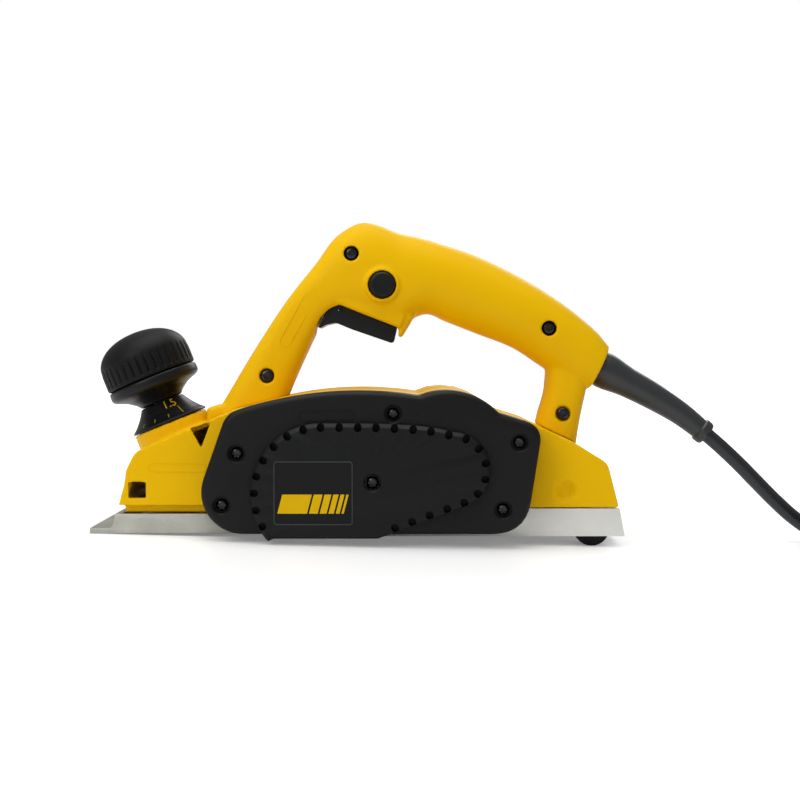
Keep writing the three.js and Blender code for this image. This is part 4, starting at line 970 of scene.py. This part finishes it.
makeTrigger()
makeLockButton()
makeProtector()
print("label, trigger, lock button and protector made")

eases = {"front_shoe": 0.5, "rear_shoe": 0.45, "motor_end_cover": 0.8, "chip_chute": 0.5,
         "parking_foot": 0.7}


def finishCopy(source, body, material):
    # the CAD shape with its edges eased, so that they catch the light
    settle(eased(copyOf(source), eases[source]), body, material, (source,))


finishCopy("front_shoe", "front_shoe", castAluminium)
finishCopy("rear_shoe", "tool", milledAluminium)
finishCopy("motor_end_cover", "tool", blackNylon)
finishCopy("chip_chute", "tool", blackNylon)
finishCopy("parking_foot", "parking_foot", softRubber)
kept = {
    groundSteel: ("shoe_screw_1", "shoe_screw_2", "shoe_screw_3", "drum_bearing_left", "drum_bearing_right",
                  "drum_pulley", "motor_pulley", "blade_clamp_1", "blade_clamp_2", "armature", "stator",
                  "motor_bearing_left", "motor_bearing_right", "adjusting_screw", "shoe_spring", "foot_pin",
                  "plug_pin_left", "plug_pin_right"),
    oxideSteel: ("brush_front", "brush_rear"),
    copper: ("commutator", "brush_holder_front", "brush_holder_rear"),
    carbide: ("blade_1", "blade_2"),
    castAluminium: ("cutter_drum",),
    blackNylon: ("cooling_fan", "switch_body", "trigger_pin"),
    softRubber: ("drive_belt",)}
for material, names in kept.items():
    for name in names:
        for slot in nodes[name].material_slots:
            slot.link = "OBJECT"
            slot.material = material
print("carried-over pieces finished")

studio = {"floor": "#FCFCFC", "room": 0.4, "seenRoom": 1.0, "lamps": (  # watts, side, place, aim
    ("overhead", 13.0, 1.3, (-0.15, -0.15, 1.35), (0, 0, 0.05)),
    ("front", 6.3, 0.7, (-0.85, -1.15, 0.85), (0, 0, 0.08)),
    ("behind", 4.0, 0.7, (0.35, 0.95, 0.75), (0, 0, 0.1)))}


def flat(name, corners, material):
    # one plain face of the surroundings
    data = bpy.data.meshes.new(name)
    data.from_pydata(corners, [], [(0, 1, 2, 3)])
    data.materials.append(material)
    placed(name, data)


def makeStudio():
    paper = bpy.data.materials.new("matt white paper with painted glow")
    paper.use_nodes = True
    shader = paper.node_tree.nodes["Principled BSDF"]
    shader.inputs["Base Color"].default_value = linear(studio["floor"])
    shader.inputs["Roughness"].default_value = 0.35
    # the floor glows for the camera only, more the further it lies from the tool: painted light that
    # whitens the floor and leaves the real shadow near the tool
    place = node(paper.node_tree, "ShaderNodeTexCoord").outputs["Object"]
    away = node(paper.node_tree, "ShaderNodeVectorMath", {0: place}, operation="LENGTH")
    paintedGlow = node(paper.node_tree, "ShaderNodeMapRange", {"Value": away.outputs["Value"], 1: 0.25, 2: 1.2,
                                                        3: 0.2, 4: 0.9})
    looked = node(paper.node_tree, "ShaderNodeLightPath").outputs["Is Camera Ray"]
    seen = node(paper.node_tree, "ShaderNodeMath", {0: paintedGlow.outputs[0], 1: looked}, operation="MULTIPLY")
    shader.inputs["Emission Color"].default_value = (1, 1, 1, 1)
    paper.node_tree.links.new(seen.outputs[0], shader.inputs["Emission Strength"])
    flat("floor", [(-6, -3, 0), (6, -3, 0), (6, 4, 0), (-6, 4, 0)], paper)
    world = bpy.data.worlds.new("studio")
    scene.world = world
    world.use_nodes = True
    room = world.node_tree.nodes["Background"]
    room.inputs["Color"].default_value = (1, 1, 1, 1)
    # white to look at, dim as a light, so that edges stay dark
    straight = node(world.node_tree, "ShaderNodeLightPath").outputs["Is Camera Ray"]
    level = node(world.node_tree, "ShaderNodeMapRange", {"Value": straight, 3: studio["room"],
                                                         4: studio["seenRoom"]})
    world.node_tree.links.new(level.outputs[0], room.inputs["Strength"])
    for name, power, size, at, to in studio["lamps"]:
        lamp = bpy.data.lights.new(name, "AREA")
        lamp.energy, lamp.size, lamp.shape = power, size, "SQUARE"
        holder = placed(name, lamp)
        holder.rotation_euler = Vector(np.subtract(at, to)).to_track_quat("Z", "Y").to_euler()
        holder.location = at


makeStudio()
print("studio made")
